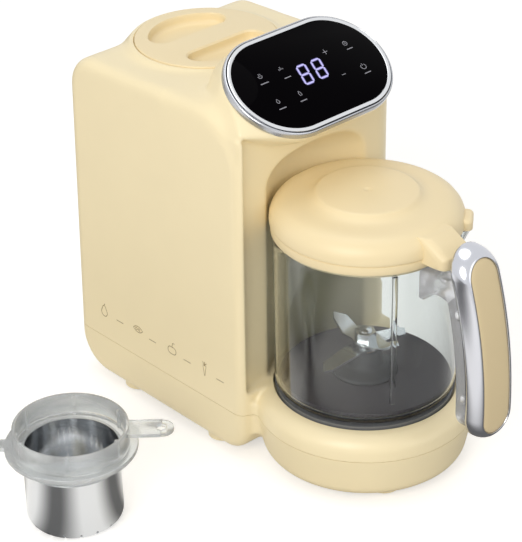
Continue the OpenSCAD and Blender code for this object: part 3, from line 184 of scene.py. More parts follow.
metal = {"Metallic": 1.0}
finishes = {
    # ABS from a fine eroded mould: an even satin with soft wide highlights
    "cream_plastic": finishOf("mouldedAbs", "F7E8C0", 0.36, grain=0.5, relief=0.006, IOR=1.53),
    # polypropylene lid and cap: a little waxier and yellower than the body
    "cream_lid": finishOf("mouldedPolypropylene", "F2E0B6", 0.40, grain=0.7, relief=0.006, IOR=1.49),
    # painted handle insert: soft dull satin
    "insert_cream": finishOf("softTouchPaint", "DCC9A0", 0.48, grain=0.4, relief=0.004, IOR=1.5),
    # thermoplastic rubber feet: matt, faintly pebbled
    "foot_rubber": finishOf("thermoplasticRubber", "E2D3A6", 0.75, grain=0.8, relief=0.02, IOR=1.5),
    # satin chrome on ABS: bright, with slightly blurred reflections
    "bright_trim": finishOf("satinChromePlate", "DFE1E4", 0.14, grain=0.3, roughDrift=0.03, drift=0.01, **metal),
    # back-painted tempered glass: black and mirror smooth
    "black_glass": finishOf("backPaintedGlass", "050406", 0.04, grain=14, roughDrift=0.01, IOR=1.52,
                            **{"Specular IOR Level": 0.01}),
    # display carrier: dull black ABS
    "display_black": finishOf("blackAbs", "1D1D22", 0.5, grain=0.5, relief=0.006, IOR=1.53),
    # glass-filled nylon: dull charcoal with a dry grain
    "dark_plastic": finishOf("glassFilledNylon", "38383B", 0.55, grain=0.5, relief=0.012, IOR=1.53),
    # the jug's inner floor: the same nylon, wiped smoother
    "jug_floor_dark": finishOf("wornNylon", "565056", 0.42, grain=0.6, relief=0.01, IOR=1.53),
    # solder mask over copper tracks: green lacquer
    "circuit_board": finishOf("solderMask", "2F6B45", 0.35, grain=2.0, drift=0.15, IOR=1.55),
    # pressed stainless sheet: fine lines drawn up the wall
    "brushed_sheet": finishOf("pressedStainless", "C6C8CA", 0.28, grain=0.4, relief=0.003, stretch=(1, 1, 0.04),
                              **metal),
    # deep-drawn and polished cup: near mirror with faint draw lines round it
    "cup_steel": finishOf("polishedStainless", "D2D4D6", 0.15, grain=0.5, relief=0.002, stretch=(0.05, 0.05, 1),
                          **metal),
    # hardened blade steel: ground flat
    "blade_steel": finishOf("groundBladeSteel", "CED1D3", 0.22, grain=0.3, relief=0.003, stretch=(0.1, 1, 1), **metal),
    # zinc-plated screws: dull silver
    "screw_steel": finishOf("zincScrew", "B9BCBE", 0.34, grain=0.4, **metal),
    # ground bearing steel: bright and smooth
    "bearing_steel": finishOf("groundSteel", "C9CCCE", 0.2, grain=0.3, stretch=(1, 1, 0.1), **metal),
    # stacked laminations: fine lines across the motor's axis
    "core_steel": finishOf("laminatedCore", "7E8185", 0.45, grain=0.5, relief=0.05, stretch=(0.02, 0.02, 1), **metal),
    # music wire: drawn, slightly dark
    "spring_steel": finishOf("drawnWire", "A9ACAF", 0.3, grain=0.3, **metal),
    # zinc-plated sheet: large pale spangles
    "zinc_sheet": finishOf("zincSheet", "B9BCC0", 0.38, grain=5.0, drift=0.06, **metal),
    # annealed heater sheath: dull grey oxide
    "heater_sheath": finishOf("annealedSheath", "8A8680", 0.5, grain=1.0, drift=0.1, **metal),
    # die-cast heating plate: sandy bright grey
    "cast_plate": finishOf("dieCastAluminium", "B8BBBE", 0.45, grain=0.9, relief=0.03, **metal),
    # coated ferrite ring: nearly black, sandy
    "magnet_coat": finishOf("coatedFerrite", "3F4246", 0.6, grain=0.7, relief=0.02, IOR=1.6),
    # enamelled windings: copper lines side by side
    "copper_wire": finishOf("enamelledCopper", "B0703C", 0.3, grain=0.8, relief=0.15, stretch=(1, 1, 0.05), **metal),
    # oil-filled sintered bronze: dull and pitted
    "sintered_bronze": finishOf("sinteredBronze", "A8834A", 0.45, grain=0.5, relief=0.02, **metal),
    # fuse cap: plain brass
    "fuse_brass": finishOf("plainBrass", "C9A36A", 0.3, grain=0.5, **metal),
    # switch body: fired steatite
    "ceramic_switch": finishOf("firedSteatite", "D9D2C4", 0.6, grain=0.6, relief=0.01, IOR=1.6),
    # relay case: moulded PBT
    "relay_blue": finishOf("mouldedPbt", "2F6FB2", 0.4, grain=0.5, IOR=1.55),
    # capacitor sleeve: shrunk vinyl film
    "capacitor_sleeve": finishOf("shrinkSleeve", "4A3F63", 0.25, grain=3.0, IOR=1.52),
    # cord gland and grommets: black rubber with a bloom
    "dark_rubber": finishOf("blackRubber", "2B2B2D", 0.7, grain=0.8, relief=0.02, IOR=1.5),
    # cured silicone: matt and slightly dusty
    "white_silicone": finishOf("whiteSilicone", "E9E7E0", 0.55, grain=0.6, IOR=1.43),
    "grey_silicone": finishOf("greySilicone", "7C8083", 0.55, grain=0.6, IOR=1.43),
    # acetal plunger: slippery off-white
    "plunger_acetal": finishOf("acetal", "E6E2D6", 0.3, grain=0.6, IOR=1.48),
    # clear copolyester jug: water clear, a trace of moulding ripple
    "jug_clear": finishOf("clearCopolyester", "F3F7F7", 0.015, grain=22, relief=0.03, roughDrift=0.01, drift=0.004,
                          IOR=1.5, **{"Transmission Weight": 1.0}),
    # clear polypropylene collar: faintly milky
    "collar_clear": finishOf("milkyPolypropylene", "F1F4F5", 0.22, grain=6, relief=0.02, roughDrift=0.05, drift=0.01,
                             IOR=1.49, **{"Transmission Weight": 0.82}),
}
# anodised aluminium band: grey satin that blurs what it mirrors
satinBand = finishOf("anodisedAluminium", "BDBFC4", 0.27, grain=0.3, roughDrift=0.03, drift=0.01, **metal)
# chrome-plated handle frame: a cooler, deeper mirror
handleChrome = finishOf("chromePlate", "CDCFD6", 0.16, grain=0.3, roughDrift=0.03, drift=0.01, **metal)
# frosted copolyester grip: clear, blurred by its eroded mould
gripClear = finishOf("frostedCopolyester", "F1F3F6", 0.2, grain=3, relief=0.01, roughDrift=0.04, drift=0.01,
                     IOR=1.45, **{"Transmission Weight": 0.8})
# smoked copolyester ring under the glass: glossy grey
smokedRing = finishOf("smokedCopolyester", "6B6D6F", 0.16, grain=2, roughDrift=0.03, drift=0.03, IOR=1.55)
# printed keys and lines: matt screen ink
keyInk = finishOf("paleScreenInk", "8F8F97", 0.6, grain=0.3, drift=0.05)
brownInk = finishOf("brownScreenInk", "A08C62", 0.6, grain=0.3, drift=0.05)


# lit display: an even pale violet with a darker violet spread round each bar
def litFilm(name, colour, strength):
    material, tree = newTree(name)
    place = addNode(tree, "ShaderNodeTexCoord").outputs["Object"]
    speckle = addNode(tree, "ShaderNodeTexNoise", {"Vector": place, "Scale": 900.0, "Detail": 1.0}).outputs[0]
    low, high = [[c * k for c in srgb(colour)[:3]] + [1.0] for k in (0.92, 1.0)]
    tone = addNode(tree, "ShaderNodeMix", {0: speckle, 6: low, 7: high}, data_type="RGBA").outputs[2]
    skin = addNode(tree, "ShaderNodeBsdfPrincipled", {"Base Color": srgb("101018"), "Roughness": 0.4,
                   "Emission Color": tone, "Emission Strength": strength})
    addNode(tree, "ShaderNodeOutputMaterial", {"Surface": skin.outputs[0]})
    return material


digitLight = litFilm("litDigits", "C9C4FF", 1.0)
digitHalo = litFilm("litHalo", "4B3F92", 0.6)
print("materials:", len(finishes) + 8)


# Mesh helpers; a bmesh here is in millimetres until addPiece

def arc(r, z, radius, start, end, steps=8):
    return [(r + radius * cos(radians(start + (end - start) * i / steps)),
             z + radius * sin(radians(start + (end - start) * i / steps))) for i in range(steps + 1)]


def tidy(bm):
    bmesh.ops.remove_doubles(bm, verts=bm.verts, dist=0.002)
    bmesh.ops.recalc_face_normals(bm, faces=bm.faces)
    return bm


# A profile of (radius, height) turned round an upright axis
def turned(profile, at=(0, 0), steps=128, ring=False):
    bm = bmesh.new()
    verts = [bm.verts.new((at[0] + r, at[1], z)) for r, z in profile]
    pairs = list(zip(verts, verts[1:])) + ([(verts[-1], verts[0])] if ring else [])
    edges = [bm.edges.new(pair) for pair in pairs]
    bmesh.ops.spin(bm, geom=verts + edges, cent=(*at, 0), axis=(0, 0, 1), angle=2 * pi, steps=steps, use_merge=True)
    return tidy(bm)


def rod(radius, low, high, at=(0, 0), steps=48):
    bm = bmesh.new()
    bmesh.ops.create_cone(bm, cap_ends=True, segments=steps, radius1=radius, radius2=radius, depth=high - low,
                          matrix=Matrix.Translation((*at, (low + high) / 2)))
    return bm


def block(low, high):
    bm = bmesh.new()
    size = Vector(high) - Vector(low)
    bmesh.ops.create_cube(bm, size=1, matrix=Matrix.Translation((Vector(low) + Vector(high)) / 2)
                          @ Matrix.Diagonal((*size, 1)))
    return bm


def loose(bm):
    mesh = bpy.data.meshes.new("loose")
    bm.to_mesh(mesh)
    bm.free()
    thing = bpy.data.objects.new("loose", mesh)
    scene.collection.objects.link(thing)
    return thing


# The first object's mesh with its modifiers applied; every object given is then removed
def collected(thing, *others):
    result = bmesh.new()
    result.from_object(thing, bpy.context.evaluated_depsgraph_get())
    for o in (thing, *others):
        mesh = o.data
        bpy.data.objects.remove(o)
        bpy.data.meshes.remove(mesh)
    return result


def combine(bm, others, operation="DIFFERENCE", solver="MANIFOLD"):
    for other in others:
        body, tool = loose(bm), loose(other)
        modifier = body.modifiers.new("combine", "BOOLEAN")
        modifier.operation, modifier.solver, modifier.object = operation, solver, tool
        bm = collected(body, tool)
    return bm


def rounded(bm, test, width, segments=3):
    edges = [e for e in bm.edges if test(e)]
    bmesh.ops.bevel(bm, geom=edges, offset=width, affect="EDGES", segments=segments, profile=0.5, material=-1)
    return bm


def turnAngle(edge):
    return edge.calc_face_angle(0.0) if len(edge.link_faces) == 2 else 0.0


def joined(meshes):
    whole = bmesh.new()
    for bm in meshes:
        copy = bpy.data.meshes.new("copy")
        bm.to_mesh(copy)
        bm.free()
        whole.from_mesh(copy)
        bpy.data.meshes.remove(copy)
    return whole


def rise(edge):
    return abs(edge.verts[0].co.z - edge.verts[1].co.z)


def vertsIn(made):
    return [g for g in made["geom"] if isinstance(g, bmesh.types.BMVert)]


def movedBy(bm, matrix):
    bmesh.ops.transform(bm, matrix=matrix, verts=bm.verts)
    return bm


# An upright block with round ends, long in X
def roundEnded(width, length, low, high, steps):
    bm = rod(width / 2, low, high, steps=steps)
    bmesh.ops.rotate(bm, matrix=Matrix.Rotation(pi / steps, 3, "Z"), verts=bm.verts)
    for side in (-1, 1):
        half = [v for v in bm.verts if v.co.x * side > 0]
        bmesh.ops.translate(bm, vec=(side * (length - width) / 2, 0, 0), verts=half)
    return bm


def addPiece(name, bm, material, body, replaced=(), angle=35):
    bmesh.ops.scale(bm, vec=(mm, mm, mm), verts=bm.verts)
    mesh = bpy.data.meshes.new(name)
    bm.to_mesh(mesh)
    bm.free()
    mesh.materials.append(material)
    mesh.polygons.foreach_set("use_smooth", [True] * len(mesh.polygons))
    mesh.set_sharp_from_angle(angle=radians(angle))
    piece = bpy.data.objects.new(name, mesh)
    scene.collection.objects.link(piece)
    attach(piece, body)
    if replaced:
        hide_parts(*replaced)
    return piece


panel = {"middle": (0, 49.7, 247.3), "tilt": 31, "length": 112, "width": 65, "bezel": 4.5, "steps": 96}
panelPlace = Matrix.Translation(panel["middle"]) @ Matrix.Rotation(radians(panel["tilt"]), 4, "X")


# One loop of the panel's outline, given its inset, its lift up the slope and its height over the glass
def outline(bm, inset, lift, height):
    width = panel["width"] - 2 * inset
    verts = bmesh.ops.create_circle(bm, segments=panel["steps"], radius=width / 2,
                                    matrix=Matrix.Rotation(pi / panel["steps"], 4, "Z"))["verts"]
    for side in (-1, 1):
        half = [v for v in verts if v.co.x * side > 0]
        bmesh.ops.translate(bm, vec=(side * (panel["length"] - panel["width"]) / 2, lift, height), verts=half)
    return verts


# A stack of outlines joined into a closed shell in the panel's place; no two neighbours lie level, or the bridge twists
def stacked(levels, capped=True):
    bm = bmesh.new()
    loops = [set(outline(bm, *level)) for level in levels]
    loopEdges = [[e for e in bm.edges if e.verts[0] in loop and e.verts[1] in loop] for loop in loops]
    pairs = list(zip(loopEdges, loopEdges[1:])) + ([] if capped else [(loopEdges[-1], loopEdges[0])])
    for low, high in pairs:
        bmesh.ops.bridge_loops(bm, edges=low + high)
    if capped:
        for edges in (loopEdges[0], loopEdges[-1]):
            bmesh.ops.edgeloop_fill(bm, edges=edges)
    bmesh.ops.transform(bm, matrix=panelPlace, verts=bm.verts)
    return tidy(bm)


# Tower, base and control head: one soft moulding, parted at its joint line

tower = {"width": 142, "wall": 2.5, "edge": 7, "seam": 34, "gap": 0.35, "grid": 1.3,
         "corners": [(38, 242.1, 38), (199, 234.2, 22), (202, 4, 26), (38, 4, 17)],   # y, z, radius from the side
         "recess": ((-66, 0, 50), (66, 44.5, 236)), "nicheRadius": 61.6, "nicheTop": 203.5, "nicheRound": 20,
         "shoulder": ((-69.5, 38.3, 203), (64, 72, 230)), "shoulderRound": 5, "rightRound": 16,
         "saddle": ((-67.5, 40, 229.5), (62, 72, 230.5)), "saddleShift": (-8, 16, 0),
         "posts": [(55, 68), (-55, 68), (55, 177), (-55, 177)], "neckFillet": 4,
         "gland": (40, 190, 58), "glandRadius": 5.9}
base = {"low": 4, "lowRadius": 66, "lowEdge": 9, "radius": 70, "deck": 50, "deckEdge": 12, "seat": 47,
        "seatRadius": 58.2, "driveHole": 17, "feet": [(58, 71), (-58, 71), (58, 155), (-58, 155)], "footRadius": 8,
        "posts": [(54, 215), (54, 325)], "frontFeet": [(48, 240), (48, 300)], "plunger": (51.2, -20)}
well = {"at": (0, 144.7), "seam": 239.9, "ledge": 235, "hole": 43.3,
        "hangRing": [(43.2, 223), (47.3, 223), (47.3, 236), (43.2, 236)],
        "mouth": [(46.35, 235), (46.35, 239.4), (46.9, 240), (46.9, 290)],
        "neck": [(64, 210), (64, 217), (60.5, 224), (57.4, 228.8), (54.8, 232.4), (52.6, 235.2), (50.8, 237.4),
                 (49.4, 239), (48.2, 239.9)], "neckBox": ((-68, 60, 200), (68, 197.6, 260))}
posts = {"upper": 4.5, "pilot": 1.5, "shank": 1.8, "head": 3.2, "steps": 20}      # screw columns, by radius


def polar(radius, angle):
    return radius * cos(radians(angle)), radius * sin(radians(angle))


# Keeps what lies on one side of a plane and closes the cut
def keptSide(bm, point, normal, keepPositive):
    everything = bm.verts[:] + bm.edges[:] + bm.faces[:]
    made = bmesh.ops.bisect_plane(bm, geom=everything, dist=1e-4, plane_co=point, plane_no=normal,
                                  clear_inner=keepPositive, clear_outer=not keepPositive)
    rim = [g for g in made["geom_cut"] if isinstance(g, bmesh.types.BMEdge)]
    bmesh.ops.edgeloop_fill(bm, edges=rim)
    return tidy(bm)


def towerBlock(inset=0.0):
    bm = bmesh.new()
    half = tower["width"] / 2 - inset
    corners = [Vector((-half, y + (inset if y < 118 else -inset), z + (inset if z < 120 else -inset)))
               for y, z, _ in tower["corners"]]
    verts = [bm.verts.new(c) for c in corners]
    bm.faces.new(verts)
    for i, (vert, (_, _, radius)) in enumerate(zip(verts, tower["corners"])):
        opening = (corners[i - 1] - corners[i]).angle(corners[(i + 1) % 4] - corners[i])
        bmesh.ops.bevel(bm, geom=[vert], offset=(radius - inset) / tan(opening / 2), affect="VERTICES",
                        segments=18, profile=0.5, material=-1)
    made = bmesh.ops.extrude_face_region(bm, geom=bm.faces[:])
    bmesh.ops.translate(bm, vec=(2 * half, 0, 0), verts=vertsIn(made))
    bmesh.ops.recalc_face_normals(bm, faces=bm.faces)
    return rounded(bm, lambda e: turnAngle(e) > 1.2, max(tower["edge"] - inset, 1.5), 8)


def baseBlock():
    b = base
    return turned([(0, b["low"]), *arc(b["lowRadius"] - b["lowEdge"], b["low"] + b["lowEdge"], b["lowEdge"], -90, -8),
                   (b["radius"], tower["seam"]),
                   *arc(b["radius"] - b["deckEdge"], b["deck"] - b["deckEdge"], b["deckEdge"], 14, 72),
                   (b["seatRadius"] + 1, b["deck"]), (0, b["deck"])])


# Inset, lift and depth of the control head's shell under its bright ring
headBack = [(9, 8.2, -28.5), (5.6, 8, -27.2), (3.2, 7.5, -24.8), (1.5, 6.5, -21.6), (0.5, 4.8, -17.6),
            (0.1, 2.6, -13.2), (0, 0.8, -9), (0, 0, -4)]


def headBlock(inset=0.0):
    return stacked([(i - panel["bezel"] + inset, lift, depth + (inset if depth < -20 else 0))
                    for i, lift, depth in headBack])


# The head's shell swells down to the tops of the tower's side walls
def skirtBlock():
    saddle = block(*tower["saddle"])
    frontRight = [v for v in saddle.verts if v.co.x > 0 and v.co.y < 50]
    bmesh.ops.translate(saddle, vec=tower["saddleShift"], verts=frontRight)
    bm = joined([headBlock(), saddle])
    bmesh.ops.delete(bm, geom=bm.edges[:], context="EDGES_FACES")
    bmesh.ops.convex_hull(bm, input=bm.verts[:])
    bmesh.ops.delete(bm, geom=[v for v in bm.verts if not v.link_faces], context="VERTS")
    return tidy(bm)


# The top falls steeply from the cap's rim, then runs out in a hollow curve
def neckBlock():
    profile = [(0, well["neck"][0][1]), *well["neck"], (0, well["seam"])]
    return combine(turned(profile, at=well["at"]), [block(*well["neckBox"])], "INTERSECT")


def neckFillets():
    front, radius = tower["corners"][0][0], tower["neckFillet"]
    reach = sqrt((base["radius"] + radius) ** 2 - (front - radius) ** 2)
    for side in (-1, 1):
        bm = block((min(side * (reach - 14), side * reach), front - radius, 19),
                   (max(side * (reach - 14), side * reach), front + 9, 42))
        yield combine(bm, [rod(radius, 0, 60, at=(side * reach, front - radius))])


def nicheBlock(grow=0.0, low=50.0):
    radius, top, bend = tower["nicheRadius"] + grow, tower["nicheTop"] + grow, tower["nicheRound"]
    return turned([(0, low), (radius, low), *arc(radius - bend, top - bend, bend, 0, 90), (0, top)])


def softened(bm, test, repeats):
    verts = [v for v in bm.verts if test(v.co)]
    for _ in range(repeats):
        bmesh.ops.smooth_vert(bm, verts=verts, factor=0.5, use_axis_x=True, use_axis_y=True, use_axis_z=True)
    return bm


# The right-hand front edge is rounded back to the recess
def edgeCut():
    radius = tower["rightRound"]
    low, high = tower["recess"]
    x, y = tower["width"] / 2 - radius, high[1] + radius
    return combine(block((x, low[1], low[2]), (x + 30, y, high[2])), [rod(radius, 0, 300, at=(x, y), steps=96)])


def wholeMoulding():
    shoulder = rounded(block(*tower["shoulder"]), lambda e: True, tower["shoulderRound"], 5)
    bm = combine(towerBlock(), [baseBlock(), shoulder, neckBlock(), *neckFillets()], "UNION")
    bm = combine(bm, [block(*tower["recess"]), edgeCut(), nicheBlock()])
    bm = combine(bm, [skirtBlock(), headBlock()], "UNION")
    skin = loose(bm)
    grid = skin.modifiers.new("grid", "REMESH")
    grid.mode, grid.voxel_size = "VOXEL", tower["grid"]
    soft = skin.modifiers.new("soft", "SMOOTH")
    soft.factor, soft.iterations = 0.5, 5
    bm = collected(skin)
    under = panelPlace.inverted()
    # the hollow between the control head and the tower, and the one round the cap
    softened(bm, lambda p: p.z > 222 and 45.5 < p.y < 108 and (under @ p).z < -9, 26)
    softened(bm, lambda p: p.z > 224 and p.y > 104 and 49.5 < (Vector((*well["at"], p.z)) - p).length < 68, 16)
    return bm


def upperRooms():
    wall, front = tower["wall"], block((-68.5, -20, 47.5), (68.5, 47, 238.5))
    corner = block((53, -20, 47.5), (72, 63, 238.5))
    room = combine(towerBlock(wall), [front, corner, nicheBlock(wall, 47.5),
                                      block((-90, -30, -10), (90, 220, tower["seam"] - 2))])
    deckRoom = turned([(0, 32), (67.5, 32), (67.5, 36), (63.5, 44.5), (0, 44.5)])
    headRoom = combine(headBlock(wall), [nicheBlock(wall, 50)])
    return [room, deckRoom, headRoom]


whole = wholeMoulding()
print("moulding:", len(whole.faces), "faces")

upper = keptSide(whole.copy(), (0, 0, tower["seam"] + tower["gap"] / 2), (0, 0, 1), True)
lower = keptSide(whole, (0, 0, tower["seam"] - tower["gap"] / 2), (0, 0, 1), False)

upper = combine(upper, upperRooms())
hangRing = turned(well["hangRing"], at=well["at"], ring=True)
plungerAt = polar(*base["plunger"])
guide = rod(5.6, 32, 46, at=plungerAt)
deckPosts = [polar(*p) for p in base["posts"]]
upper = combine(upper, [hangRing, guide, *[rod(posts["upper"], 42, 72, at=p) for p in tower["posts"]],
                        *[rod(posts["upper"], tower["seam"] + 0.2, 46, at=p) for p in deckPosts]], "UNION")
rimCut = stacked([(-5.5, 0, -5), (-5.5, 0, 60)])
windowCut = stacked([(0, 0, -11), (0, 0, 40)])
mouthCut = turned([(0, well["mouth"][0][1]), *well["mouth"], (0, well["mouth"][-1][1])], at=well["at"])
glandCut = movedBy(rod(tower["glandRadius"], -5, 20, steps=32),
                   Matrix.Translation(tower["gland"]) @ Matrix.Rotation(-pi / 2, 4, "X"))
upper = combine(upper, [rimCut, windowCut, rod(base["seatRadius"], base["seat"], 150, steps=128),
                        rod(base["driveHole"], 27, 67), mouthCut, rod(well["hole"], 160, 240, at=well["at"], steps=96),
                        rod(2.8, 27, 67, at=plungerAt), rod(4.4, 31, 44.5, at=plungerAt), glandCut,
                        *[rod(posts["pilot"], 30, 60, at=p, steps=posts["steps"]) for p in tower["posts"]],
                        *[rod(posts["pilot"], 30, 42, at=p, steps=posts["steps"]) for p in deckPosts]])
addPiece("upperHousing", upper, finishes["cream_plastic"], "machine", ["upper_housing"], angle=50)

baseRoom = turned([(0, 6.5), *arc(57, 13, 6.5, -90, -8), (67.5, 33), (67.5, 36), (0, 36)])
lowerRoom = combine(towerBlock(tower["wall"]), [block((-90, -30, 36), (90, 220, 300))])
feet = base["feet"] + [polar(*p) for p in base["frontFeet"]]
screws = tower["posts"] + deckPosts
lower = combine(lower, [baseRoom, lowerRoom])
lower = combine(lower, [*[rod(base["footRadius"] + 2, 1.5, 6.5, at=p) for p in feet],
                        *[rod(posts["upper"], 5.5, 41.9, at=p) for p in tower["posts"]],
                        *[rod(posts["upper"], 5.5, 34, at=p) for p in deckPosts]], "UNION")
lower = combine(lower, [*[rod(base["footRadius"], -1, 2.6, at=p) for p in feet],
                        *[rod(posts["head"], -1, 26, at=p) for p in screws],
                        *[rod(posts["shank"], 20, 60, at=p) for p in screws]])


# Round-ended slot cut through the floor
def vent(length, width, at, turn):
    return movedBy(roundEnded(width, length, -1, 12, 24),
                   Matrix.Translation((*at, 0)) @ Matrix.Rotation(radians(turn), 4, "Z"))


lower = combine(lower, [*[vent(9, 2.6, polar(24, 30 * i), 30 * i + 90) for i in range(12)],
                        *[vent(40, 3, (8 * i, 132), 90) for i in range(-4, 5)]])
addPiece("lowerHousing", lower, finishes["cream_plastic"], "machine", ["lower_housing"], angle=50)
print("housings")


# Control panel

# a polished rim beside the glass, and a satin band outside it past a fine groove
rim = [(-2.55, 0, -5), (-2.55, 0, -0.5), (-2.4, 0, -0.15), (-2.05, 0, 0), (-0.7, 0, -0.05), (-0.25, 0, -0.18),
       (-0.05, 0, -0.5), (-0.05, 0, -2.5), (3, 0, -2.6), (3, 0, -9.9), (0.3, 0, -10), (0.3, 0, -5.1)]
band = [(-4.5, 0, -5), (-4.5, 0, -2.2), (-4.4, 0, -1.5), (-4.1, 0, -0.95), (-3.7, 0, -0.65), (-3.35, 0, -0.6),
        (-3.15, 0, -0.8), (-3.1, 0, -1.1), (-3.1, 0, -5.1)]
addPiece("panelRim", stacked(rim, capped=False), finishes["bright_trim"], "machine", ["head_bezel"])
addPiece("panelBand", stacked(band, capped=False), satinBand, "machine")
glass = stacked([(0.1, 0, -2.5), (0.1, 0, -0.75), (0.25, 0, -0.45), (0.5, 0, -0.3)])
addPiece("panelGlass", glass, finishes["black_glass"], "machine", ["panel_glass"])

display = {"face": -0.29, "slant": 0.178, "digits": [(-3.85, 0.55), (8.15, 0.55)], "size": (6.6, 13.2),
           "layers": [("digitGlow", digitHalo, 2.1, 0.02), ("digitBars", digitLight, 1.15, 0.06)]}


# One pointed bar between two points of the glass
def bar(a, b, width, height):
    bm = bmesh.new()
    along = Vector(b) - Vector(a)
    bmesh.ops.create_cube(bm, size=1, matrix=Matrix.Diagonal((along.length - width * 0.25, width, height, 1)))
    rounded(bm, lambda e: rise(e) > height / 2, width * 0.48, 1)
    turn = Matrix.Rotation(-Vector((1, 0)).angle_signed(along), 4, "Z")
    middle = (Vector(a) + Vector(b)) / 2
    return movedBy(bm, Matrix.Translation((*middle, display["face"])) @ turn)


def digitBars(width, height):
    wide, tall = display["size"][0] / 2, display["size"][1] / 2
    ends = [(-wide, tall), (wide, tall), (-wide, 0), (wide, 0), (-wide, -tall), (wide, -tall)]
    for x, y in display["digits"]:
        spots = [(x + px + py * display["slant"], y + py) for px, py in ends]
        for i, j in ((0, 1), (2, 3), (4, 5), (0, 2), (1, 3), (2, 4), (3, 5)):
            yield bar(spots[i], spots[j], width, height)


for name, material, width, height in display["layers"]:
    addPiece(name, movedBy(joined(digitBars(width, height)), panelPlace), material, "machine")


# A curve's strokes as one mesh; the curve is then removed
def drawn(curve):
    thing = bpy.data.objects.new("strokes", curve)
    scene.collection.objects.link(thing)
    mesh = bpy.data.meshes.new_from_object(thing.evaluated_get(bpy.context.evaluated_depsgraph_get()))
    bm = bmesh.new()
    bm.from_mesh(mesh)
    bpy.data.objects.remove(thing)
    bpy.data.meshes.remove(mesh)
    bpy.data.curves.remove(curve)
    bmesh.ops.remove_doubles(bm, verts=bm.verts, dist=1e-5)
    bmesh.ops.recalc_face_normals(bm, faces=bm.faces)
    return bm


# Printed lines: open or closed runs of points, drawn as flat strokes
def strokes(runs, width, place):
    curve = bpy.data.curves.new("strokes", "CURVE")
    curve.dimensions, curve.bevel_depth, curve.bevel_resolution = "3D", width / 2, 1
    curve.use_fill_caps = True
    for points, closed in runs:
        spline = curve.splines.new("POLY")
        spline.points.add(len(points) - 1)
        for point, (x, y) in zip(spline.points, points):
            point.co = (x, y, 0, 1)
        spline.use_cyclic_u = closed
    bm = drawn(curve)
    bmesh.ops.scale(bm, vec=(1, 1, 0.14 / width), verts=bm.verts)
    return movedBy(bm, place)


def placed(run, x, y, size=1.0):
    points, closed = run
    return [(x + px * size, y + py * size) for px, py in points], closed


# Plain line pictures, each about two units across
pictures = {
    "plus": [([(-1, 0), (1, 0)], False), ([(0, -1), (0, 1)], False)],
    "minus": [([(-1, 0), (1, 0)], False)],
    "power": [(arc(0, 0, 1, -235, 55, 14), False), ([(0, 0.35), (0, 1.25)], False)],
    "bowl": [(arc(0, 0, 1, 180, 360, 10), True), (arc(-0.35, 0.75, 0.3, -90, 90, 6), False),
             (arc(0.35, 0.75, 0.3, -90, 90, 6), False)],
    "blades": [([(0, 0), (-1, 0.25), (-0.85, -0.3)], True), ([(0, 0), (1, -0.25), (0.85, 0.3)], True),
               ([(0, 0), (0.25, 1), (-0.3, 0.85)], True)],
    "drop": [([(0, 1.1)] + arc(0, -0.3, 0.7, 20, -200, 12), True)],
    "bottle": [([(-0.55, -1), (0.55, -1), (0.55, 0.3), (0.25, 0.6), (0.25, 1), (-0.25, 1), (-0.25, 0.6), (-0.55, 0.3)],
                True)],
    "clock": [(arc(0, 0, 1, 0, 345, 18), True), ([(0, 0.6), (0, 0), (0.4, -0.25)], False)],
    "label": [([(-1, 0), (1, 0)], False)],
    "pear": [(arc(0, -0.35, 0.68, -215, 35, 14) + arc(0, 0.45, 0.36, 10, 170, 8), True),
             ([(0, 0.85), (0.2, 1.2)], False)],
    "pea": [(arc(0, 0.9, 1.3, 215, 325, 10) + arc(0, -0.7, 1.3, 35, 145, 10), True),
            (arc(-0.35, 0.1, 0.2, 0, 330, 10), True), (arc(0.25, 0.1, 0.2, 0, 330, 10), True)],
    "carrot": [([(-0.35, 0.6), (0.35, 0.6), (0.05, -1.1), (-0.05, -1.1)], True), ([(0, 0.6), (-0.4, 1.15)], False),
               ([(0, 0.6), (0.05, 1.25)], False), ([(0, 0.6), (0.45, 1.1)], False)],
    "apple": [(arc(-0.3, -0.1, 0.6, 70, 270, 10) + arc(0.3, -0.1, 0.6, -90, 110, 10), True),
              ([(0, 0.45), (0.1, 0.9)], False), (arc(0.38, 0.95, 0.28, 180, 40, 6), False)]}

keys = {"line": 0.42, "marks": [("plus", 20.1, 9.5, 1.9), ("minus", 20.5, -9.4, 1.5), ("power", 37.3, -9.5, 1.9),
                                ("bowl", -33.2, 10.7, 1.5), ("blades", -16.7, 9.8, 1.7), ("drop", -34.4, -9.1, 1.5),
                                ("bottle", -16.9, -9.8, 1.5), ("clock", 37.5, 9.8, 1.5)],
        "labels": [(-33.5, 5.2, 3.2), (-16.3, 3.1, 2.6), (-34.7, -14.6, 2.8), (-17.9, -15.1, 2.6), (38.1, 5.3, 2.4),
                   (37, -14.4, 2.6)]}
onGlass = panelPlace @ Matrix.Translation((0, 0, display["face"]))
runs = [placed(run, x, y, size) for name, x, y, size in keys["marks"] for run in pictures[name]]
addPiece("keyMarks", strokes(runs, keys["line"], onGlass), keyInk, "machine")
runs = [placed(run, x, y, size) for x, y, size in keys["labels"] for run in pictures["label"]]
addPiece("keyLabels", strokes(runs, keys["line"] * 1.5, onGlass), keyInk, "machine")

side = {"line": 0.55, "x": -tower["width"] / 2 - 0.03, "size": 4.4, "bar": 3.4,
        "marks": [("pear", 173.7, 55), ("pea", 138.9, 55), ("apple", 104.9, 55), ("carrot", 73.2, 55)],
        "labels": [(157.6, 53), (124.4, 53), (90.2, 53), (58.5, 53)]}
onSide = Matrix.Translation((side["x"], 0, 0)) @ Matrix.Rotation(-pi / 2, 4, "Z") @ Matrix.Rotation(pi / 2, 4, "X")
runs = [placed(run, -y, z, side["size"]) for name, y, z in side["marks"] for run in pictures[name]]
runs += [placed(run, -y, z, side["bar"]) for y, z in side["labels"] for run in pictures["label"]]
addPiece("sideMarks", strokes(runs, side["line"], onSide), brownInk, "machine")
print("panel and prints")


# Steam cap

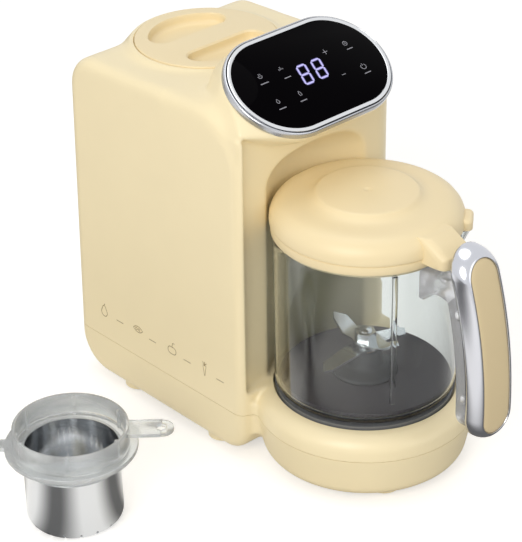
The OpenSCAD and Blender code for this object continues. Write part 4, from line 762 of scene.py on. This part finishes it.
cap = {"low": well["ledge"] + 0.3, "radius": 46, "edge": 0.9, "top": 240.7, "bar": 21, "pocketRadius": 37,
       "depth": 7.2, "wall": 1.5, "corner": 8.5, "foot": 3.4, "lip": 1.1}


# One half-moon finger hollow; side is 1 for the back one and -1 for the front one
def pocket(side, grow, low, high, lip):
    radius, corner, flat = cap["pocketRadius"] + grow, cap["corner"] + grow, cap["bar"] / 2 - grow
    reach = sqrt((radius - corner) ** 2 - (flat + corner) ** 2)
    turn = degrees(atan2(flat + corner, reach))
    plan = (arc(reach, flat + corner, corner, -90, turn, 9) + arc(0, 0, radius, turn, 180 - turn, 40)[1:-1]
            + arc(-reach, flat + corner, corner, 180 - turn, 270, 9))
    bm = bmesh.new()
    x0, y0 = well["at"]
    face = bm.faces.new([bm.verts.new((x0 + side * x, y0 + side * y, low)) for x, y in plan])
    made = bmesh.ops.extrude_face_region(bm, geom=[face])
    bmesh.ops.translate(bm, vec=(0, 0, high - low), verts=vertsIn(made))
    bmesh.ops.recalc_face_normals(bm, faces=bm.faces)
    rounded(bm, lambda e: turnAngle(e) > 0.9 and max(v.co.z for v in e.verts) < low + 0.01, cap["foot"] + grow, 6)
    if lip:     # the mouth flares out into a soft lip above the cap's face
        rim = [f for f in bm.faces if f.normal.z > 0.9]
        made = bmesh.ops.extrude_face_region(bm, geom=rim)
        verts = vertsIn(made)
        bmesh.ops.delete(bm, geom=rim, context="FACES")
        centre = sum((v.co for v in verts), Vector()) / len(verts)
        bmesh.ops.translate(bm, vec=(0, 0, lip * 1.6), verts=verts)
        bmesh.ops.scale(bm, vec=(1 + lip * 1.3 / 34, 1 + lip * 1.3 / 13, 1), verts=verts,
                        space=Matrix.Translation(-centre))
    return tidy(bm)


shell = turned([(0, cap["low"]), (cap["radius"], cap["low"]),
                *arc(cap["radius"] - cap["edge"], cap["top"] - cap["edge"], cap["edge"], 0, 90, 6), (0, cap["top"])],
               at=well["at"])
floorLevel = cap["top"] - cap["depth"]
cups = [pocket(s, cap["wall"], floorLevel - cap["wall"], cap["low"] + 2, 0) for s in (1, -1)]
hollows = [pocket(s, 0, floorLevel, cap["top"] - cap["lip"], cap["lip"]) for s in (1, -1)]
shell = combine(combine(shell, cups, "UNION"), hollows)
addPiece("steamCap", shell, finishes["cream_lid"], "cap", ["steam_cap"], angle=40)


# Jug lid

lid = {"spout": -50, "handle": -90, "gap": (-84, -36), "profile": [
    (0, 185.9), (1.2, 186), (2.4, 186.42), (3.2, 186.5), (30.2, 186.5), (31.4, 186.25), (32.2, 185.5), (33.2, 184.3),
    (35, 183.1), (37.5, 182.3), (41, 181.9), (46, 181.6), (50, 181.1), (53.2, 180), (56.2, 177.8), (58.5, 174.8),
    (59.7, 171.6), (60, 168.5), (60, 166.9), (59.7, 166.4), (58.8, 166.3), (58.8, 165.7), (59.1, 165.5), (59.2, 165.1),
    (59.2, 160.4), (59, 160.05), (58.6, 160), (58.42, 160.2), (58.42, 165.5), (54.9, 165.5), (54.9, 163), (53.7, 163),
    (53.7, 160), (54.9, 160), (54.9, 157), (52.4, 157), (52.4, 167), (48, 178), (31, 184), (0, 184)]}


def turnedBy(bm, angle):
    bmesh.ops.rotate(bm, cent=(0, 0, 0), matrix=Matrix.Rotation(radians(angle), 3, "Z"), verts=bm.verts)
    return bm


def thumbTab():
    bm = block((52, -12, 163.6), (75.6, 12, 179.5))
    bm = combine(bm, [rod(45, 100, 200, steps=96)])
    bm = keptSide(bm, (62, 0, 178.6), (sin(radians(27)), 0, cos(radians(27))), False)
    rounded(bm, lambda e: rise(e) > 5 and e.verts[0].co.x > 70 and turnAngle(e) > 0.5, 5.5, 5)
    rounded(bm, lambda e: turnAngle(e) > 0.5 and min(v.co.x for v in e.verts) > 54, 1.1, 3)
    return turnedBy(bm, lid["handle"])


def spoutTab():
    bm = block((50, -9, 165.9), (64.4, 9, 172.6))
    rounded(bm, lambda e: rise(e) > 5 and e.verts[0].co.x > 60, 4, 6)
    rounded(bm, lambda e: turnAngle(e) > 0.5 and min(v.co.z for v in e.verts) > 170, 2.2, 4)
    return turnedBy(bm, lid["spout"])


# The skirt outside the glass stops short of the pouring lip, also when the lid is turned
def skirtGap():
    bm = rod(70, 150, 165.55, steps=160)
    bm = combine(bm, [rod(58.1, 100, 200, steps=160)])
    bm = keptSide(bm, (0, 0, 0), (*polar(1, lid["gap"][0] + 90), 0), True)
    return keptSide(bm, (0, 0, 0), (*polar(1, lid["gap"][1] + 90), 0), False)


top = turned(lid["profile"], steps=160)
top = combine(top, [skirtGap()])
top = combine(top, [spoutTab(), thumbTab()], "UNION")
addPiece("jugLid", top, finishes["cream_lid"], "lid", ["jug_lid"], angle=40)
print("cap and lid")


# Clear jug

jug = {"spoutLow": 149, "rib": -118.5,
       "profile": [(46, 52), (52.2, 52), *arc(52.2, 57, 5, -90, 0), (58.2, 155), (58.2, 164.2), (57.6, 165),
                   (55.8, 165), (55.2, 164.4), (55.2, 155), (54.2, 64), *arc(51.2, 58, 3, 0, -90), (46, 55)]}


# Pouring lip: a cone that swells out of the wall towards the rim
def lipCone(small, large, low, high, reach):
    bm = bmesh.new()
    bmesh.ops.create_cone(bm, cap_ends=True, segments=48, radius1=small, radius2=large, depth=high - low,
                          matrix=Matrix.Translation((reach, 0, (low + high) / 2)))
    return turnedBy(bm, lid["spout"])


wall = turned(jug["profile"], steps=160, ring=True)
hollow = rod(55.2, 140, 170, steps=160)
spout = combine(lipCone(1.5, 9, jug["spoutLow"], 165, 55.2), [hollow])
wall = combine(wall, [spout], "UNION")
wall = combine(wall, [lipCone(0.01, 7, jug["spoutLow"] + 2, 165.6, 55.2)])
rib = block((55, -1.7, 68), (59.1, 1.7, 158))
wall = combine(wall, [turnedBy(rounded(rib, lambda e: turnAngle(e) > 1, 0.7, 3), jug["rib"])], "UNION")
addPiece("jugGlass", wall, finishes["jug_clear"], "jug", ["jug_glass"], angle=40)


# Handle

handle = {"bow": 278, "reach": 111, "middle": 78, "low": 58, "top": 182, "radius": 17, "step": 6,
          "frame": [(0.9, 11.2), (0.4, 10.4), (0.4, 8.6), (0.6, 6.6), (1.1, 4.7), (1.9, 3), (2.9, 1.6), (4, 0.65),
                    (5, 0.2), (5.5, 0.3), (5.8, 0.9), (5.8, 4)],
          "insert": [(5.95, 3.9), (5.95, 1.1), (6.3, 0.65), (7.2, 0.35), (9.5, 0.2)],
          "back": [(0.8, 11.6), (0, 12.4), (0, 20.2), (0.4, 21.1), (1.3, 21.5)], "backTop": 161, "screws": (80, 136)}


# A tall stadium loop in the XZ plane, set back by depth along Y
def upright(bm, inset, depth, low, top, radius):
    verts = bmesh.ops.create_circle(bm, segments=64, radius=radius - inset, matrix=Matrix.Rotation(pi / 2, 4, "X")
                                    @ Matrix.Rotation(pi / 64, 4, "Z"))["verts"]
    halves = [[v for v in verts if v.co.z * sign > 0] for sign in (-1, 1)]
    for half, centre in zip(halves, (low + radius, top - radius)):
        bmesh.ops.translate(bm, vec=(0, depth, centre), verts=half)
    return verts


# Bends a straight stack of loops to the handle's bow
def bowed(bm):
    for z in range(handle["low"] + 12, handle["top"] - 10, handle["step"]):
        everything = bm.verts[:] + bm.edges[:] + bm.faces[:]
        bmesh.ops.bisect_plane(bm, geom=everything, dist=1e-4, plane_co=(0, 0, z), plane_no=(0, 0, 1))
    for v in bm.verts:
        bend = sqrt((handle["bow"] - v.co.y) ** 2 - (v.co.z - handle["middle"]) ** 2)
        v.co.y = -(handle["reach"] - handle["bow"] + bend)
    return tidy(bm)


def handleSolid(levels, low, top, radius):
    bm = bmesh.new()
    loops = [set(upright(bm, inset, depth, low, top, radius)) for inset, depth in levels]
    loopEdges = [[e for e in bm.edges if e.verts[0] in loop and e.verts[1] in loop] for loop in loops]
    for near, far in zip(loopEdges, loopEdges[1:]):
        bmesh.ops.bridge_loops(bm, edges=near + far)
    for edges in (loopEdges[0], loopEdges[-1]):
        bmesh.ops.edgeloop_fill(bm, edges=edges)
    return bowed(tidy(bm))


h = handle
addPiece("handleFrame", handleSolid(h["frame"], h["low"], h["top"], h["radius"]), handleChrome, "jug",
         ["handle_frame"], angle=50)
addPiece("handleInsert", handleSolid(h["insert"], h["low"], h["top"], h["radius"]), finishes["insert_cream"], "jug",
         ["handle_insert"], angle=50)

back = handleSolid(h["back"], h["low"] + 3, h["backTop"], h["radius"] - 3)
arm = block((-13, -97.5, 139), (13, -40, 159.4))
rounded(arm, lambda e: abs(e.verts[0].co.y - e.verts[1].co.y) > 5, 2.2, 4)
arch = movedBy(rod(15, -50, 50), Matrix.Translation((0, -73.2, 133)) @ Matrix.Rotation(pi / 2, 4, "Y"))
arm = combine(arm, [rod(58.25, 120, 180, steps=160), arch])
back = combine(back, [arm], "UNION")
for z in h["screws"]:
    depth = h["reach"] - h["bow"] + sqrt((h["bow"] - 17.5) ** 2 - (z - h["middle"]) ** 2)
    hole = Matrix.Translation((0, -depth, z)) @ Matrix.Rotation(-pi / 2, 4, "X")
    back = combine(back, [movedBy(rod(3.1, 0, 30), hole)])
addPiece("handleBack", back, gripClear, "jug", ["handle_bracket"], angle=40)
print("jug and handle")


# Steaming basket

basket = {"at": (basketMiddle.x / mm, basketMiddle.y / mm), "turn": -42, "cup": 30, "sheet": 0.8, "round": 6,
          "cupTop": 51, "slots": 18, "slot": (1.5, 7), "flange": 40.8, "tab": 22,
          "collar": [(30.1, 42), (31.8, 42), (32, 42.3), (32, 46), (35.2, 46), (35.5, 46.3), (35.5, 50), (40.5, 50),
                     (40.8, 50.4), (40.8, 52.6), (40.5, 53), (35.5, 53), (35.5, 65.6), (35.2, 66), (33.8, 66),
                     (33.5, 65.6), (33.5, 52.2), (33.2, 52), (28.8, 52), (28.8, 51.05), (30.1, 51.05)]}


def toBasket(bm):
    return movedBy(bm, Matrix.Translation((*basket["at"], 0)) @ Matrix.Rotation(radians(basket["turn"]), 4, "Z"))


b = basket
cup = turned([(0, 0), *arc(b["cup"] - b["round"], b["round"], b["round"], -90, 0), (b["cup"], b["cupTop"]),
              (b["cup"] - b["sheet"], b["cupTop"]),
              *arc(b["cup"] - b["round"], b["round"], b["round"] - b["sheet"], 0, -90),
              (0, b["sheet"])], steps=144)
cuts = []
for i in range(b["slots"]):
    foot = Matrix.Translation((b["cup"] - b["round"] * 0.36, 0, b["round"] * 0.36))
    swing = Matrix.Rotation(2 * pi * i / b["slots"], 4, "Z")
    cuts.append(movedBy(roundEnded(*b["slot"], -2.5, 2.5, 16), swing @ foot @ Matrix.Rotation(radians(135), 4, "Y")))
holes = [rod(1.4, -1, 3, at=polar(8.5 * k, 60 / k * i), steps=20) for k in (1, 2) for i in range(6 * k)]
cup = combine(cup, [joined(cuts), joined(holes)])
addPiece("basketCup", toBasket(cup), finishes["cup_steel"], "basket", ["basket_cup"], angle=40)

collar = turned(b["collar"], steps=144, ring=True)
reach = b["flange"] + b["tab"] - 8
tab = block((34.5, -8, 61), (reach, 8, 63.5))
tab = combine(tab, [rod(8, 61, 63.5, at=(reach, 0))], "UNION")
tab = combine(tab, [rod(3, 50, 70, at=(reach, 0), steps=32)])
rounded(tab, lambda e: turnAngle(e) > 0.6 and min(v.co.x for v in e.verts) > 36, 0.5, 2)
lug = rounded(block((-43.8, -5, 50), (-37.8, 5, 53)), lambda e: turnAngle(e) > 1, 0.6, 2)
ribs = [turnedBy(block((31.9, -0.8, 52.1), (33.7, 0.8, 65.2)), 60 * i + 30) for i in range(6)]
collar = combine(collar, [tab, lug, *ribs], "UNION")
addPiece("basketCollar", toBasket(collar), finishes["collar_clear"], "basket", ["basket_collar"],
         angle=40)
print("basket")


# Pieces that keep their solid's shape

# node: the angle in degrees past which an edge stays sharp
smoothed = {"jug_collar": 35, "jug_floor": 35, "floor_seal": 35, "blade_hub": 35, "blade_spindle": 35,
            "upper_blade": 30, "lower_blade": 30, "blade_nut": 25, "foot_pads": 35, "cord_gland": 35, "chamber": 35,
            "chamber_gasket": 35, "handle_screws": 30, "lid_seal": 35, "cap_liner": 35, "cap_seal": 35,
            "drive_coupling": 30, "driven_coupling": 30, "drive_seal": 35, "lock_plunger": 35}
bodyOf = {node: body for body, nodes in frame["record"]["behaviour"]["bodies"].items() for node in nodes}
slotOf = {part["node"]: part["material_slot"] for part in frame["record"]["subparts"]}


def camelCase(node):
    first, *rest = node.split("_")
    return first + "".join(word.title() for word in rest)


def smoothCopy(node, angle):
    mesh = frame["nodes"][node].data.copy()
    mesh.name = node + "Smooth"
    bm = bmesh.new()
    bm.from_mesh(mesh)
    bmesh.ops.remove_doubles(bm, verts=bm.verts, dist=2e-6)
    bmesh.ops.dissolve_degenerate(bm, edges=bm.edges, dist=1e-6)
    bm.to_mesh(mesh)
    bm.free()
    mesh.materials.clear()
    mesh.materials.append(smokedRing if node == "jug_collar" else finishes[slotOf[node]])
    mesh.polygons.foreach_set("use_smooth", [True] * len(mesh.polygons))
    mesh.polygons.foreach_set("material_index", [0] * len(mesh.polygons))
    mesh.set_sharp_from_angle(angle=radians(angle))
    piece = bpy.data.objects.new(camelCase(node), mesh)
    scene.collection.objects.link(piece)
    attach(piece, bodyOf[node])
    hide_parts(node)


for node, angle in smoothed.items():
    smoothCopy(node, angle)
print("smooth copies:", len(smoothed))

for node, thing in frame["nodes"].items():
    thing.data.materials.clear()
    thing.data.materials.append(finishes[slotOf[node]])
print("nodes finished:", len(frame["nodes"]))
